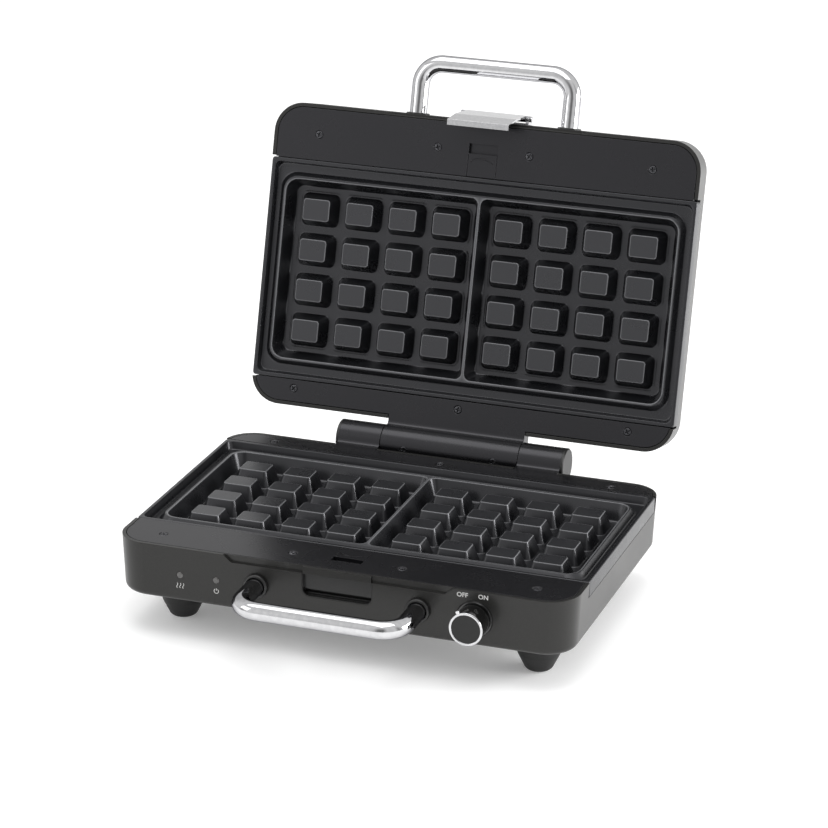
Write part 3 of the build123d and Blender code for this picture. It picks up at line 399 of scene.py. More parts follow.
def in_lid(points):
    """Points drawn for the shut lid, in mm, turned about the hinge to the open lid's place."""
    open_angle = -math.radians(joints["lid_hinge"]["range_deg"][1])
    offset = np.asarray(points, float) - np.array([0, HINGE_Y, HINGE_Z])
    cos, sin = math.cos(open_angle), math.sin(open_angle)
    y = offset[..., 1] * cos - offset[..., 2] * sin
    z = offset[..., 1] * sin + offset[..., 2] * cos
    return np.stack([offset[..., 0], y, z], -1) * MM + np.array(hinge)


def mirrored_in_lid(points):
    """Points drawn below the meeting plane, mirrored above it and turned with the open lid."""
    return in_lid(np.asarray(points, float) * np.array([1, 1, -1]))


def rounded_line(points, radii, steps=ARC_STEPS):
    """A line through points whose inner corners are arcs: each arc leaves its two runs at
    radius times the tangent of half the turn from the corner."""
    points = [np.array(point, float) for point in points]
    line = [points[0]]
    for before, corner, after, radius in zip(points, points[1:], points[2:], radii):
        arrive = (corner - before) / np.linalg.norm(corner - before)
        leave = (after - corner) / np.linalg.norm(after - corner)
        turn = math.acos(float(np.clip(arrive @ leave, -1, 1)))
        if radius <= 0 or turn < STRAIGHT:
            line.append(corner)
            continue
        reach = radius * math.tan(turn / 2)
        share = np.linspace(0, 1, steps + 1)[:, None]
        arc_start, arc_end = corner - arrive * reach, corner + leave * reach
        centre = arc_start + (leave - arrive * (arrive @ leave)) / math.sin(turn) * radius
        start_weight = np.sin((1 - share) * turn) / math.sin(turn)
        end_weight = np.sin(share * turn) / math.sin(turn)
        line.extend(centre + start_weight * (arc_start - centre) + end_weight * (arc_end - centre))
    line.append(points[-1])
    return np.array(line)


def rounded_ring(centre, half, radii):
    """Outline of a rectangle with four rounded corners, from the corner at +x +y counterclockwise."""
    starts = np.array([0, 0.5, 1, 1.5]) * math.pi
    signs = np.array([(1, 1), (-1, 1), (-1, -1), (1, -1)])
    radii = np.broadcast_to(np.asarray(radii, float), (4,))
    angle = starts[:, None] + np.linspace(0, math.pi / 2, CORNER_STEPS)[None, :]
    corner = signs * (np.array(half) - radii[:, None])
    x = centre[0] + corner[:, :1] + radii[:, None] * np.cos(angle)
    y = centre[1] + corner[:, 1:] + radii[:, None] * np.sin(angle)
    return np.stack([x.ravel(), y.ravel()], -1)


def stacked(rings, heights):
    """Rings of plan points at their heights, as one grid of points."""
    heights = [np.broadcast_to(height, len(ring)) for ring, height in zip(rings, heights)]
    return np.stack([np.column_stack([ring, height]) for ring, height in zip(rings, heights)])


def grid_faces(rows, columns, closed):
    """Quads between neighbouring points of a grid, whose last column joins the first if closed."""
    row = np.arange(rows - 1)[:, None]
    column = np.arange(columns if closed else columns - 1)[None, :]
    beside = (column + 1) % columns
    quads = [row * columns + column, row * columns + beside,
             (row + 1) * columns + beside, (row + 1) * columns + column]
    return np.stack(quads, -1).reshape(-1, 4)


SAME_POINT = 1e-6
NO_LENGTH = 1e-7


def make_piece(name, grids, place, material, body, replaces=(), flip=False, sharp=35,
               recalculate=False):
    """One object from grids of points: each grid is (points, closed), or (points, closed, mask) with how
    much
    each row is lightened: a painted highlight along edges, partly rubbing of the coating. flip turns every
    face over, and edges that turn by more than sharp degrees stay sharp."""
    points, faces, wear_and_highlight_mask, count = [], [], [], 0
    for grid, closed, *wear_and_highlight in grids:
        rows, columns = grid.shape[:2]
        points.append(place(grid.reshape(-1, 3)))
        quads = grid_faces(rows, columns, closed) + count
        faces.append(quads[:, ::-1] if flip else quads)
        wear_and_highlight_mask.append(np.repeat(wear_and_highlight[0] if wear_and_highlight else np.zeros(rows), columns))
        count += rows * columns
    points, faces, wear_and_highlight_mask = np.concatenate(points), np.concatenate(faces), np.concatenate(wear_and_highlight_mask)
    mesh = bpy.data.meshes.new(name)
    mesh.vertices.add(len(points))
    mesh.vertices.foreach_set("co", points.ravel())
    mesh.loops.add(faces.size)
    mesh.loops.foreach_set("vertex_index", faces.ravel().astype(np.int32))
    mesh.polygons.add(len(faces))
    mesh.polygons.foreach_set("loop_start", np.arange(0, faces.size, 4, dtype=np.int32))
    mesh.update(calc_edges=True)
    # The attribute carries the painted highlight along edges, partly rubbing of the coating.
    if wear_and_highlight_mask.any():
        mesh.attributes.new("wear_and_highlight", "FLOAT", "POINT").data.foreach_set("value", wear_and_highlight_mask.astype(np.float32))
    work = bmesh.new()
    work.from_mesh(mesh)
    bmesh.ops.remove_doubles(work, verts=work.verts, dist=SAME_POINT)
    bmesh.ops.dissolve_degenerate(work, edges=work.edges, dist=NO_LENGTH)
    if recalculate:
        bmesh.ops.recalc_face_normals(work, faces=work.faces)
    work.to_mesh(mesh)
    work.free()
    mesh.polygons.foreach_set("use_smooth", [True] * len(mesh.polygons))
    mesh.set_sharp_from_angle(angle=math.radians(sharp))
    mesh.materials.append(material)
    piece = bpy.data.objects.new(name, mesh)
    bpy.context.scene.collection.objects.link(piece)
    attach(piece, body)
    if replaces:
        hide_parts(*replaces)


def skirt_foot(ring, half_x):
    """Height of the lip's lower edge: the two short sides hang lower, as they show from the side."""
    return np.where(np.abs(ring[:, 0]) < half_x - SIDE_BAND, UNDER_Z, SKIRT_Z)


def plate_frame(half_x):
    """Lip, gutter and the outer half of the ridge: one profile carried round the plate inwards. The gutter
    is narrower at the plate's two ends, so each step inwards along y has its own step along x."""
    inwards_y = PLATE_HALF_Y - RIDGE_HALF[1]
    inwards_x = half_x - RIDGE_HALF[0]
    foot_y, edge_y = inwards_y - RIDGE_FOOT, inwards_y - RIDGE_TOP_HALF
    profile = rounded_line([(0, SKIRT_Z), (0, RIM_Z), (LIP, RIM_Z), (LIP + GUTTER_DRAFT, GUTTER_Z),
                            (foot_y, GUTTER_Z), (edge_y, RIDGE_Z), (inwards_y, RIDGE_Z)], FRAME_ROUNDS)
    along_y = [0, LIP, LIP + GUTTER_DRAFT, foot_y, edge_y, inwards_y]
    along_x = [0, LIP, LIP + GUTTER_DRAFT, inwards_x - RIDGE_FOOT, inwards_x - RIDGE_TOP_HALF, inwards_x]
    corner = [PLATE_CORNER, *GUTTER_CORNERS, RIDGE_FOOT_CORNER, RIDGE_EDGE_CORNER, RIDGE_CORNER]
    rings = []
    for step, _ in profile:
        half = (half_x - np.interp(step, along_y, along_x), PLATE_HALF_Y - step)
        rings.append(rounded_ring((0, 0), half, np.interp(step, along_y, corner)))
    return stacked(rings, [skirt_foot(rings[0], half_x), *profile[1:, 1]])


def plate_under(half_x):
    """Underside: flat border, sloping tub wall and flat bottom, closed at the middle."""
    tub = (RIDGE_HALF[0] + TUB_WALL, RIDGE_HALF[1] + TUB_WALL)
    halves = [(half_x, PLATE_HALF_Y), (half_x - LIP, PLATE_HALF_Y - LIP), tub,
              (tub[0] - TUB_DRAFT, tub[1] - TUB_DRAFT), (TIP_HALF, TIP_HALF)]
    corners = [PLATE_CORNER, PLATE_CORNER, RIDGE_CORNER, RIDGE_CORNER, TIP_R]
    rings = [rounded_ring((0, 0), half, corner) for half, corner in zip(halves, corners)]
    heights = [skirt_foot(rings[0], half_x), UNDER_Z, UNDER_Z, PLATE_UNDER_Z, PLATE_UNDER_Z]
    return stacked(rings, heights)[::-1]


def near_edge(top, foot):
    """The point of a wall just below its rounded top edge, where the lighter edge colour ends."""
    top, foot = np.array(top), np.array(foot)
    return top + (foot - top) * NEAR_EDGE


def edge_wear_and_highlight(rows, first, last, inside=0.0):
    """Painted highlight along a grid's rows, partly rubbing of the coating: inside before the rounded edge,
    half a sine over rows first to last, and none after them."""
    row = np.arange(rows)
    share = (row - first + WEAR_AND_HIGHLIGHT_MARGIN) / (last - first + 2 * WEAR_AND_HIGHLIGHT_MARGIN)
    hump = np.sin(np.clip(share, 0, 1) * math.pi) * EDGE_WEAR_AND_HIGHLIGHT
    return np.maximum(hump, np.where(row < first, inside, 0.0))


def plate_cavity(side):
    """Inner half of the ridge, cavity wall and floor, from the crest inwards and down. Its first ring has
    square corners at the divider, so that the two cavities meet there."""
    centre = (side * RIDGE_HALF[0] / 2, 0)
    crest = np.array([RIDGE_HALF[0] / 2, RIDGE_HALF[1]])
    edge, foot = (RIDGE_TOP_HALF, RIDGE_Z), (CAVITY_FOOT, CAVITY_Z)
    profile = rounded_line([(0, RIDGE_Z), edge, near_edge(edge, foot), foot,
                            (CAVITY_FOOT + CAVITY_BORDER, CAVITY_Z)],
                           (CAVITY_EDGE_ROUND, 0, CAVITY_FOOT_ROUND))
    at_end = np.array([1, -1, -1, 1]) * side > 0
    rings = [rounded_ring(centre, crest, np.where(at_end, RIDGE_CORNER, TIP_HALF))]
    for inset, _ in profile:
        end_corner = max(RIDGE_CORNER - END_SHRINK * inset, END_LEAST)
        divider_corner = max(DIVIDER_CORNER - DIVIDER_SHRINK * inset, DIVIDER_LEAST)
        rings.append(rounded_ring(centre, crest - inset, np.where(at_end, end_corner, divider_corner)))
    on_crest = 2
    # Painted highlight along the crest's rounded edge.
    wear_and_highlight_rows = edge_wear_and_highlight(len(rings), 0, on_crest + ARC_STEPS)
    return stacked(rings, [RIDGE_Z, *profile[:, 1]]), True, wear_and_highlight_rows


def plate_floor(side):
    """Flat floor of one cavity: a rectangle just under the feet of its blocks."""
    x = np.sort([side * CAVITY_FOOT, side * (RIDGE_HALF[0] - CAVITY_FOOT)])
    y = np.array([-1, 1]) * (RIDGE_HALF[1] - CAVITY_FOOT)
    corner_x, corner_y = np.meshgrid(x, y)
    return np.stack([corner_x, corner_y, np.full_like(corner_x, CAVITY_Z - FLOOR_BELOW)], -1), False


def plate_block(centre):
    """One block: its outline grows from the middle of the top over the rounded edge and down the drafted
    sides to a filleted foot."""
    top = [(-inset, BLOCK_Z) for inset in BLOCK_TOP_INSETS]
    edge, foot = (0, BLOCK_Z), (BLOCK_DRAFT, CAVITY_Z)
    profile = rounded_line([*top, edge, near_edge(edge, foot), foot, (BLOCK_DRAFT + BLOCK_FOOT, CAVITY_Z)],
                           (0, BLOCK_EDGE_ROUND, 0, BLOCK_FOOT_ROUND), BLOCK_ARC_STEPS)
    rings = [rounded_ring(centre, (TIP_HALF, TIP_HALF), TIP_R)]
    for grow, _ in profile:
        corner = max(BLOCK_CORNER + BLOCK_CORNER_GROWTH * grow, BLOCK_LEAST_CORNER)
        rings.append(rounded_ring(centre, (BLOCK_HALF[0] + grow, BLOCK_HALF[1] + grow), corner))
    on_top = 1 + len(top)
    # Painted highlight along the top's rounded edge, and a faint one over the top.
    wear_and_highlight_rows = edge_wear_and_highlight(len(rings), on_top, on_top + BLOCK_ARC_STEPS, inside=TOP_WEAR_AND_HIGHLIGHT)
    return stacked(rings, [BLOCK_Z, *profile[:, 1]])[::-1], True, wear_and_highlight_rows[::-1]


def bent(value, power):
    """A sine or cosine with its size raised to a power below 1, which squares its round off."""
    return np.sign(value) * np.abs(value) ** power


def soft_block(centre, half, power):
    """A box with rounded edges: a sphere whose sines and cosines are raised to a small power."""
    rise = np.linspace(-math.pi / 2, math.pi / 2, SOFT_STEPS + 1)[:, None]
    turn = np.linspace(0, 2 * math.pi, 2 * SOFT_STEPS, endpoint=False)[None, :]
    out = bent(np.cos(rise), power)
    ball = np.stack([out * bent(np.cos(turn), power), out * bent(np.sin(turn), power),
                     bent(np.sin(rise), power) * np.ones_like(turn)], -1)
    return np.array(centre) + ball * np.array(half)


def waffle_plate_grids(half_x):
    """All the surfaces of one plate, drawn below the meeting plane."""
    grids = [(plate_frame(half_x), True), (plate_under(half_x), True)]
    from_middle = np.arange(BLOCKS) - (BLOCKS - 1) / 2
    for side in (-1, 1):
        grids += [plate_cavity(side), plate_floor(side)]
        tab_centre = (side * TAB_X, PLATE_HALF_Y + TAB_REACH - TAB_HALF[1], UNDER_Z + TAB_HALF[2])
        grids.append((soft_block(tab_centre, TAB_HALF, power=0.25), True))
        grids += [plate_block((side * GRID_X + column * PITCH[0], row * PITCH[1]))
                  for column in from_middle for row in from_middle]
    return grids


make_piece("lower_plate", waffle_plate_grids(PLATE_HALF_X["base"]), in_base, NONSTICK, "base",
           ["lower_waffle_plate"])
make_piece("upper_plate", waffle_plate_grids(PLATE_HALF_X["lid"]), mirrored_in_lid, NONSTICK, "lid",
           ["upper_waffle_plate"], flip=True)

# Heat under the plates
# A bent steel-sheathed element lies under each plate, clipped over a bright pressed sheet that
# throws its heat back.

ELEMENT = finish("heated_tube", dark=(0.10, 0.09, 0.085), light=(0.17, 0.155, 0.145), metallic=0.8,
                 gloss=(0.45, 0.6), grain=300.0)
BRIGHT_SHEET = finish("bright_sheet", dark=(0.62, 0.62, 0.62), light=(0.72, 0.72, 0.72), metallic=1.0,
                      gloss=(0.25, 0.35), grain=200.0)
dress(ELEMENT, "lower_heating_element", "upper_heating_element")
dress(BRIGHT_SHEET, "lower_reflector", "upper_reflector")

# Hinge pin and caps
# A plain steel pin runs through the fixed knuckles and the lid's barrel. A pressed-in black cap
# closes each end.

STEEL = finish("dull_steel", dark=(0.30, 0.30, 0.30), light=(0.42, 0.42, 0.42), metallic=1.0,
               gloss=(0.3, 0.42), grain=500.0)
BLACK_PLASTIC = finish("black_plastic", dark=(0.0065, 0.0065, 0.0065), light=(0.0095, 0.0095, 0.0095),
                       metallic=0.0, gloss=(0.36, 0.44), grain=1500.0, relief=0.16, height=0.00005)
dress(STEEL, "hinge_pin")
dress(BLACK_PLASTIC, "knuckle_cap_left", "knuckle_cap_right")

# Handles
# Each is one chrome-plated steel tube bent twice, with its legs through the front wall
# and a black plastic collar round each leg.

TUBE_R = 5.75
HANDLE_LEG_X = 52.4
HANDLE_END_Y = -100.6
HANDLE_BAR_Y = {"base": -147.6, "lid": -145.4}
HANDLE_Z = {"base": -17.5, "lid": 15.5}
HANDLE_BEND_R = 14.5
BEND_STEPS = 24
FRONT_WALL_Y = -111.0
COLLAR_R = 7.75
COLLAR_BORE = TUBE_R + 0.05
COLLAR_FLARE = 0.3
COLLAR_LENGTH = {"base": 3.0, "lid": 0.9}
COLLAR_ROUNDS = (0.45, 0.1)         # outer and inner edge, as shares of the length

CHROME = finish("polished_chrome", dark=(0.54, 0.54, 0.55), light=(0.60, 0.60, 0.61), metallic=1.0,
                gloss=(0.03, 0.05), grain=300.0, relief=0.01, height=0.00002, tint=(0.30, 0.30, 0.32))


def tube_grid(path, radius, sides=40, upward=(0, 0, 1)):
    """A round tube along a path in a plane square to upward: each ring is square to the path there."""
    along = np.gradient(path, axis=0)
    along /= np.linalg.norm(along, axis=1)[:, None]
    upward = np.array(upward, float)
    aside = np.cross(along, upward)
    turn = np.linspace(0, 2 * math.pi, sides, endpoint=False)
    ring = aside[:, None, :] * np.cos(turn)[None, :, None] + upward * np.sin(turn)[None, :, None]
    grid = path[:, None, :] + ring * radius
    return np.concatenate([np.repeat(path[:1, None], sides, 1), grid, np.repeat(path[-1:, None], sides, 1)])


def handle_grid(bar, z):
    """The bent tube of one handle at height z, with its bar at depth bar."""
    x, end = HANDLE_LEG_X, HANDLE_END_Y
    path = rounded_line([(-x, end, z), (-x, bar, z), (x, bar, z), (x, end, z)],
                        (HANDLE_BEND_R, HANDLE_BEND_R), BEND_STEPS)
    return tube_grid(path, TUBE_R)


def turned_grid(profile, x, z, sides):
    """A profile of (radius, y) turned about a line along y through x and z, in sides steps."""
    profile = np.asarray(profile, float)
    turn = np.linspace(0, 2 * math.pi, sides, endpoint=False)
    radius = profile[:, :1]
    depth = np.broadcast_to(profile[:, 1:], (len(profile), sides))
    return np.stack([x + radius * np.cos(turn), depth, z + radius * np.sin(turn)], -1)


def collar_grid(x, z, length):
    """Black collar round a leg: a ring with a rounded outer edge, its profile a closed loop."""
    outer_round, inner_round = COLLAR_ROUNDS
    front = FRONT_WALL_Y - length
    loop = rounded_line([(COLLAR_BORE, FRONT_WALL_Y), (COLLAR_R, FRONT_WALL_Y), (COLLAR_R, front),
                         (COLLAR_BORE + COLLAR_FLARE, front), (COLLAR_BORE, FRONT_WALL_Y)],
                        (0, length * outer_round, length * inner_round))
    return turned_grid(loop, x, z, sides=48)


for part, place in (("base", in_base), ("lid", in_lid)):
    tube = handle_grid(HANDLE_BAR_Y[part], HANDLE_Z[part])
    make_piece(part + "_handle_tube", [(tube, True)], place, CHROME, part, [part + "_handle"],
               recalculate=True)
    for name, side in (("left", -1), ("right", 1)):
        collar = collar_grid(side * HANDLE_LEG_X, HANDLE_Z[part], COLLAR_LENGTH[part])
        make_piece(part + "_leg_collar_" + name, [(collar, True)], place, BLACK_PLASTIC, part,
                   [part + "_ferrule_" + name], recalculate=True)

# Latch
# A bent chrome-plated steel clip hangs on a pin in a small steel bracket on the lid. Its lip hooks
# under the ledge of the black catch in the base's front window.

PLATED = finish("plated_steel", dark=(0.50, 0.50, 0.51), light=(0.57, 0.57, 0.58), metallic=1.0,
                gloss=(0.07, 0.12), grain=600.0, relief=0.015, height=0.00002)
dress(PLATED, "latch_clip", "latch_bracket", "latch_pin")
dress(BLACK_PLASTIC, "latch_catch")

WINDOW_HALF = 22.8
WINDOW_Z = (-19.7, -5.0)
WINDOW_CORNER = 5.0
WINDOW_TOP_CORNER = 0.4
BEAD_R = 0.27
STEP_CENTRE = (0, FRONT_WALL_Y + 4.2, -18.9)
STEP_HALF = (22.3, 0.6, 0.8)


def window_bead():
    """Thin rounded frame inside the edge of the window: a round bead down one side, along the bottom and
    up the other side."""
    low, high = WINDOW_Z
    bottom_corner = WINDOW_CORNER - BEAD_R
    ring = rounded_ring((0, (low + high) / 2), (WINDOW_HALF - BEAD_R, (high - low) / 2 - BEAD_R),
                        (WINDOW_TOP_CORNER, WINDOW_TOP_CORNER, bottom_corner, bottom_corner))
    open_line = np.concatenate([ring[2 * CORNER_STEPS - 1:], ring[:1]])
    depth = np.full(len(open_line), FRONT_WALL_Y + BEAD_R)
    path = np.stack([open_line[:, 0], depth, open_line[:, 1]], -1)
    return tube_grid(path, BEAD_R, sides=12, upward=(0, 1, 0))


make_piece("latch_window_frame", [(window_bead(), True)], in_base, BLACK_PLASTIC, "base",
           recalculate=True)
make_piece("latch_window_step", [(soft_block(STEP_CENTRE, STEP_HALF, power=0.2), True)], in_base,
           BLACK_PLASTIC, "base")

# Screws
# Countersunk cross-head screws of blackened steel hold the covers, seven in the base and seven in
# the lid, and two more fix the hinge barrel to its pin.

SCREW_R = 2.9
SCREW_CONE = 1.5
CONE_TOP = (SCREW_R - 0.3, -0.5)    # radius and z
RIM_EDGE = (SCREW_R - 0.6, -0.15)
FACE_EDGE = (2.0, -0.06)
SHANK_R = 1.5
SHANK_END_R = 1.2
SHANK_CHAMFER = 0.4
SCREW_LENGTH = 11.0
CROSS_REACH = 1.75
CROSS_HALF = 0.42
CROSS_TOP_Z = (-0.05, -0.14)        # the face just outside the cross, and its edge
CROSS_MARGIN = (1.05, 0.08)         # share and mm
CROSS_FOOT = (0.7, -1.2)            # share of the cross, and z
CROSS_BOTTOM_Z = -1.45
TIP_STEPS = 3                       # points over half of an arm's end, and over its side
ARM_STEPS = 7
COVER_Z = -0.4
SCREW_X = {"base": (-121.3, -35.4, 35.4, 121.3), "lid": (-115.0, -31.5, 31.5, 115.0)}
SCREW_Y = {"base": -93.0, "lid": -90.9}
REAR_SCREW_X = (-116.3, 0, 116.3)
REAR_SCREW_Y = 79.8
FIRST_TURN = 0.35                   # radians
NEXT_TURN = 0.9

BLACK_STEEL = finish("blackened_steel", dark=(0.055, 0.055, 0.060), light=(0.095, 0.095, 0.102),
                     metallic=0.95, gloss=(0.18, 0.28), grain=900.0, height=0.00004)


def screw_grid(length, turn):
    """A screw with its face at z 0: rings run up the shank and the cone to the rim, then in along the
    face to the outline of the cross, down its sloping walls and to its middle."""
    corner = math.atan2(CROSS_HALF, CROSS_REACH)
    over_tip = np.linspace(0, corner, TIP_STEPS)
    along_arm = np.linspace(corner, math.pi / 4, ARM_STEPS)
    eighth = np.concatenate([over_tip, along_arm[1:]])
    quarter = np.concatenate([eighth, math.pi / 2 - eighth[-2:0:-1]])
    angle = (quarter[None, :] + np.arange(4)[:, None] * math.pi / 2).ravel()
    cos, sin = np.abs(np.cos(angle)), np.abs(np.sin(angle))
    never_zero = 1e-9
    cos, sin = cos + never_zero, sin + never_zero
    cross = np.maximum(np.minimum(CROSS_REACH / cos, CROSS_HALF / sin),
                       np.minimum(CROSS_REACH / sin, CROSS_HALF / cos))
    rings = [(TIP_R, -length), (SHANK_END_R, -length), (SHANK_R, SHANK_CHAMFER - length),
             (SHANK_R, -SCREW_CONE), CONE_TOP, RIM_EDGE, FACE_EDGE,
             (cross * CROSS_MARGIN[0] + CROSS_MARGIN[1], CROSS_TOP_Z[0]), (cross, CROSS_TOP_Z[1]),
             (cross * CROSS_FOOT[0], CROSS_FOOT[1]), (TIP_R, CROSS_BOTTOM_Z)]
    return np.stack([np.column_stack([radius * np.cos(angle + turn), radius * np.sin(angle + turn),
                                      np.full_like(angle, z)]) for radius, z in rings])


for part, place, flip in (("base", in_base, False), ("lid", mirrored_in_lid, True)):
    places = [(x, SCREW_Y[part]) for x in SCREW_X[part]] + [(x, REAR_SCREW_Y) for x in REAR_SCREW_X]
    for number, (x, y) in enumerate(places):
        grid = screw_grid(SCREW_LENGTH, FIRST_TURN + NEXT_TURN * number) + np.array([x, y, COVER_Z])
        make_piece(f"{part}_cover_screw_{number + 1}", [(grid, True)], place, BLACK_STEEL, part,
                   [f"{part}_screw_{number + 1}"], flip=flip, sharp=30)

BARREL_R = 11.5
BARREL_SCREW_X = 31.0
BARREL_SCREW_LENGTH = 6.5
BARREL_SCREW_TURN = 0.3


def from_hinge(points):
    """Points in mm from the middle of the hinge axis, brought to their place in metres."""
    return points * MM + np.array(hinge)


for name, side in (("left", -1), ("right", 1)):
    grid = screw_grid(BARREL_SCREW_LENGTH, BARREL_SCREW_TURN * side)
    x, y, z = np.moveaxis(grid, -1, 0)
    towards_front = np.stack([x + side * BARREL_SCREW_X, -z - BARREL_R, y], -1)
    make_piece("barrel_cross_screw_" + name, [(towards_front, True)], from_hinge, BLACK_STEEL, "lid",
               ["barrel_screw_" + name], sharp=30)

# Knob and its two marks
# A glossy black turned knob with a bright ring and pointer round a satin face, on a collar in the
# front wall. OFF and ON are printed on the wall above it, at the two ends of its turn.

KNOB_X = 88.0
KNOB_Z = -18.0
KNOB_STANDOFF = 1.6
KNOB_DEPTH = 13.6
KNOB_REAR = FRONT_WALL_Y - KNOB_STANDOFF
KNOB_FRONT = KNOB_REAR - KNOB_DEPTH
KNOB_R = 10.2
KNOB_DRAFT = 0.4
KNOB_ROUNDS = (0.8, 0.1)            # rear and front edge
KNOB_BORE = 3.0
KNOB_BORE_DEPTH = 10.0
RING_R = (9.05, 10.65)
RING_DEPTH = 1.7
RING_POWER = 0.6
RING_STEPS = 24
POINTER_ANGLE = math.radians(118.0)
POINTER_OUT = 0.4
POINTER_HALF = (1.4, RING_DEPTH / 2 - 0.1, 1.1)
MARK_OUT = 0.03
WORD_HEIGHT = 3.0
WORD_SPREAD = 0.018                 # makes the strokes bolder
WORD_CURVE_STEPS = 4
OFF_PLACE = (80.2, -3.3)            # x and z of the word's middle
ON_PLACE = (93.3, -3.1)

GLOSS_BLACK = finish("gloss_black", dark=(0.0045, 0.0045, 0.0045), light=(0.0060, 0.0060, 0.0060),
                     metallic=0.0, gloss=(0.05, 0.08), grain=200.0, relief=0.01, coat=0.4,
                     coat_roughness=0.03)
KNOB_SATIN = finish("knob_face_satin", dark=(0.0045, 0.0045, 0.0045), light=(0.0068, 0.0068, 0.0068),
                    metallic=0.0, gloss=(0.38, 0.44), grain=2000.0, specular=0.38)
MARK_INK = finish("mark_ink", dark=(0.58, 0.58, 0.57), light=(0.66, 0.66, 0.65), metallic=0.0,
                  gloss=(0.45, 0.55), grain=800.0)
dress(STEEL, "knob_shaft")
dress(BLACK_PLASTIC, "rotary_switch")
dress(KNOB_SATIN, "knob_face")
dress(GLOSS_BLACK, "knob_collar")


def knob_grip_grid():
    """The knob's body turned about the shaft: the bore, the rear, the tapered side and the front."""
    bore_end = KNOB_REAR - KNOB_BORE_DEPTH
    outside = rounded_line([(KNOB_BORE, KNOB_REAR), (KNOB_R, KNOB_REAR), (KNOB_R - KNOB_DRAFT, KNOB_FRONT),
                            (TIP_R, KNOB_FRONT)], KNOB_ROUNDS)
    profile = np.concatenate([[(TIP_R, bore_end), (KNOB_BORE, bore_end)], outside])
    return turned_grid(profile, KNOB_X, KNOB_Z, sides=96)


def knob_ring_grids():
    """The bright ring is a flattened bead turned about the shaft, and the pointer a soft block on it."""
    turn = np.linspace(0, 2 * math.pi, RING_STEPS + 1)
    middle_r, half_r = sum(RING_R) / 2, (RING_R[1] - RING_R[0]) / 2
    middle_y, half_y = KNOB_FRONT - RING_DEPTH / 2, RING_DEPTH / 2
    bead = np.stack([middle_r + half_r * bent(np.cos(turn), RING_POWER),
                     middle_y + half_y * bent(np.sin(turn), RING_POWER)], -1)
    nub = soft_block((RING_R[1] + POINTER_OUT, 0, 0), POINTER_HALF, power=0.4)
    cos, sin = math.cos(POINTER_ANGLE), math.sin(POINTER_ANGLE)
    nub = np.stack([KNOB_X + nub[..., 0] * cos - nub[..., 2] * sin, middle_y + nub[..., 1],
                    KNOB_Z + nub[..., 0] * sin + nub[..., 2] * cos], -1)
    return [(turned_grid(bead, KNOB_X, KNOB_Z, sides=96), True), (nub, True)]


make_piece("knob_grip", [(knob_grip_grid(), True)], in_base, GLOSS_BLACK, "knob", ["knob_body"],
           recalculate=True)
make_piece("knob_bright_ring", knob_ring_grids(), in_base, CHROME, "knob", ["knob_ring"],
           recalculate=True)


def printed_word(name, text, x, z):
    """A word printed on the front wall: the letters' filled outlines, scaled to WORD_HEIGHT and centred
    at x and z."""
    letters = bpy.data.curves.new(name, "FONT")
    letters.body = text
    letters.offset = WORD_SPREAD
    letters.resolution_u = WORD_CURVE_STEPS
    holder = bpy.data.objects.new(name + "_outline", letters)
    bpy.context.scene.collection.objects.link(holder)
    bpy.context.view_layer.update()
    mesh = bpy.data.meshes.new_from_object(holder.evaluated_get(bpy.context.evaluated_depsgraph_get()))
    bpy.data.objects.remove(holder)
    points = np.empty(len(mesh.vertices) * 3)
    mesh.vertices.foreach_get("co", points)
    points = points.reshape(-1, 3)
    low, high = points.min(0), points.max(0)
    flat = (points - (low + high) / 2) * WORD_HEIGHT / (high[1] - low[1])
    depth = np.full(len(flat), FRONT_WALL_Y - MARK_OUT)
    on_wall = in_base(np.stack([x + flat[:, 0], depth, z + flat[:, 1]], -1))
    mesh.vertices.foreach_set("co", on_wall.ravel())
    mesh.update()
    mesh.materials.clear()
    mesh.materials.append(MARK_INK)
    piece = bpy.data.objects.new(name, mesh)
    bpy.context.scene.collection.objects.link(piece)
    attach(piece, "base")


printed_word("mark_off", "OFF", *OFF_PLACE)
printed_word("mark_on", "ON", *ON_PLACE)

# Indicator lamps and their marks
# Two small domed lenses in the front wall, dark while the cooker is off. A sign for heat, three
# wavy lines, and a sign for power, an open ring with a bar, are printed under them.

LAMP_X = {"heat": -103.0, "power": -79.0}
LAMP_Z = -18.2
LAMP_R = 2.1
DOME = 0.5
DOME_STEPS = 8
LAMP_HIDDEN = [(3.6, 2.4), (3.6, 4.4), (2.6, 4.4), (2.6, 12.4)]     # flange and body: radius, depth

SIGN_Z = -25.2
WAVE_HALF_HEIGHT = 1.7
WAVE_SWING = 0.4
WAVE_STEPS = 24
WAVE_APART = 2.0
WAVE_INK = 0.17                     # half widths
POWER_INK = 0.19
POWER_R = 1.45
POWER_DOWN = 0.1
POWER_SWEEP = np.radians(np.linspace(125, 415, 33))    # round the ring, open at the top
POWER_BAR = np.array([0.2, 1.7])

LENS = finish("lamp_lens", dark=(0.045, 0.044, 0.042), light=(0.075, 0.073, 0.070), metallic=0.0,
              gloss=(0.10, 0.18), grain=700.0, coat=0.6, coat_roughness=0.05)


def lamp_grid(x):
    """A lens and its body turned about a line along y: a quarter ellipse bulging out of the wall, then
    the hidden flange and body, closed at the rear."""
    rise = np.linspace(0, math.pi / 2, DOME_STEPS + 1)
    dome = np.stack([np.maximum(LAMP_R * np.sin(rise), TIP_R), FRONT_WALL_Y - DOME * np.cos(rise)], -1)
    flange_depth, body_depth = LAMP_HIDDEN[0][1], LAMP_HIDDEN[-1][1]
    behind = [(LAMP_R, flange_depth), *LAMP_HIDDEN, (TIP_R, body_depth)]
    profile = np.concatenate([dome, np.array(behind) + np.array([0, FRONT_WALL_Y])])
    return turned_grid(profile, x, LAMP_Z, sides=40)


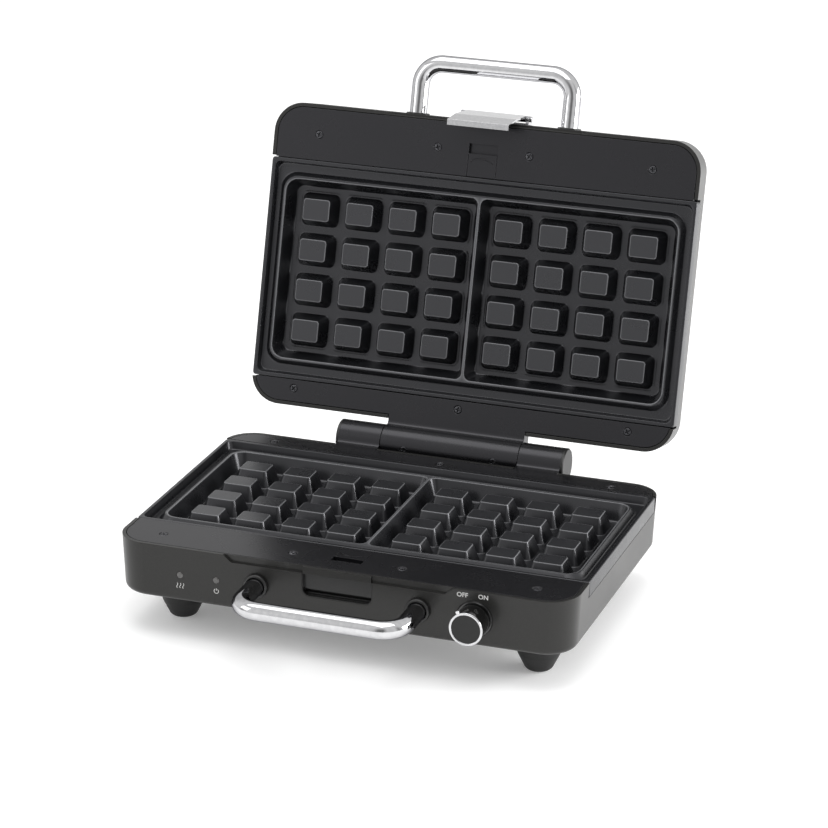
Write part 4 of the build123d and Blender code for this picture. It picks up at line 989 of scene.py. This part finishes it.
for name, x in LAMP_X.items():
    make_piece(name + "_lamp_lens", [(lamp_grid(x), True)], in_base, LENS, "base",
               [name + "_lamp"], recalculate=True)


def printed_line(path, half):
    """A flat line of ink on the front wall: points half to each side of the path, square to it."""
    along = np.gradient(path, axis=0)
    along /= np.linalg.norm(along, axis=1)[:, None]
    aside = np.stack([-along[:, 1], along[:, 0]], -1) * half
    edges = np.stack([path + aside, path - aside], 1)
    depth = np.full(edges.shape[:2], FRONT_WALL_Y - MARK_OUT)
    return np.stack([edges[..., 0], depth, edges[..., 1]], -1)


def wave_line(x):
    """One upright wavy line: a whole period of a sine over its height."""
    rise = np.linspace(-WAVE_HALF_HEIGHT, WAVE_HALF_HEIGHT, WAVE_STEPS + 1)
    return np.stack([x + WAVE_SWING * np.sin(rise * math.pi / WAVE_HALF_HEIGHT), SIGN_Z + rise], -1)


waves = [wave_line(LAMP_X["heat"] + step) for step in (-WAVE_APART, 0, WAVE_APART)]
open_ring = np.stack([LAMP_X["power"] + POWER_R * np.cos(POWER_SWEEP),
                      SIGN_Z - POWER_DOWN + POWER_R * np.sin(POWER_SWEEP)], -1)
bar = np.stack([np.full(2, LAMP_X["power"]), SIGN_Z + POWER_BAR], -1)
make_piece("mark_heat", [(printed_line(wave, WAVE_INK), False) for wave in waves], in_base, MARK_INK, "base")
make_piece("mark_power", [(printed_line(line, POWER_INK), False) for line in (open_ring, bar)], in_base,
           MARK_INK, "base")

# Underside and cord bushing
# Four tall rubber feet are pushed through the floor, and a vented steel sheet, painted black,
# closes it. A rubber bushing sits in the rear wall.

RUBBER = finish("rubber", dark=(0.0050, 0.0050, 0.0050), light=(0.0085, 0.0085, 0.0085), metallic=0.0,
                gloss=(0.5, 0.62), grain=1200.0, relief=0.25, height=0.00006)
PAINTED_SHEET = finish("painted_sheet", dark=(0.010, 0.010, 0.010), light=(0.016, 0.016, 0.016),
                       metallic=0.1, gloss=(0.4, 0.5), grain=700.0)
dress(RUBBER, "foot_front_left", "foot_front_right", "foot_rear_left", "foot_rear_right", "cord_gland")
dress(PAINTED_SHEET, "bottom_cover")
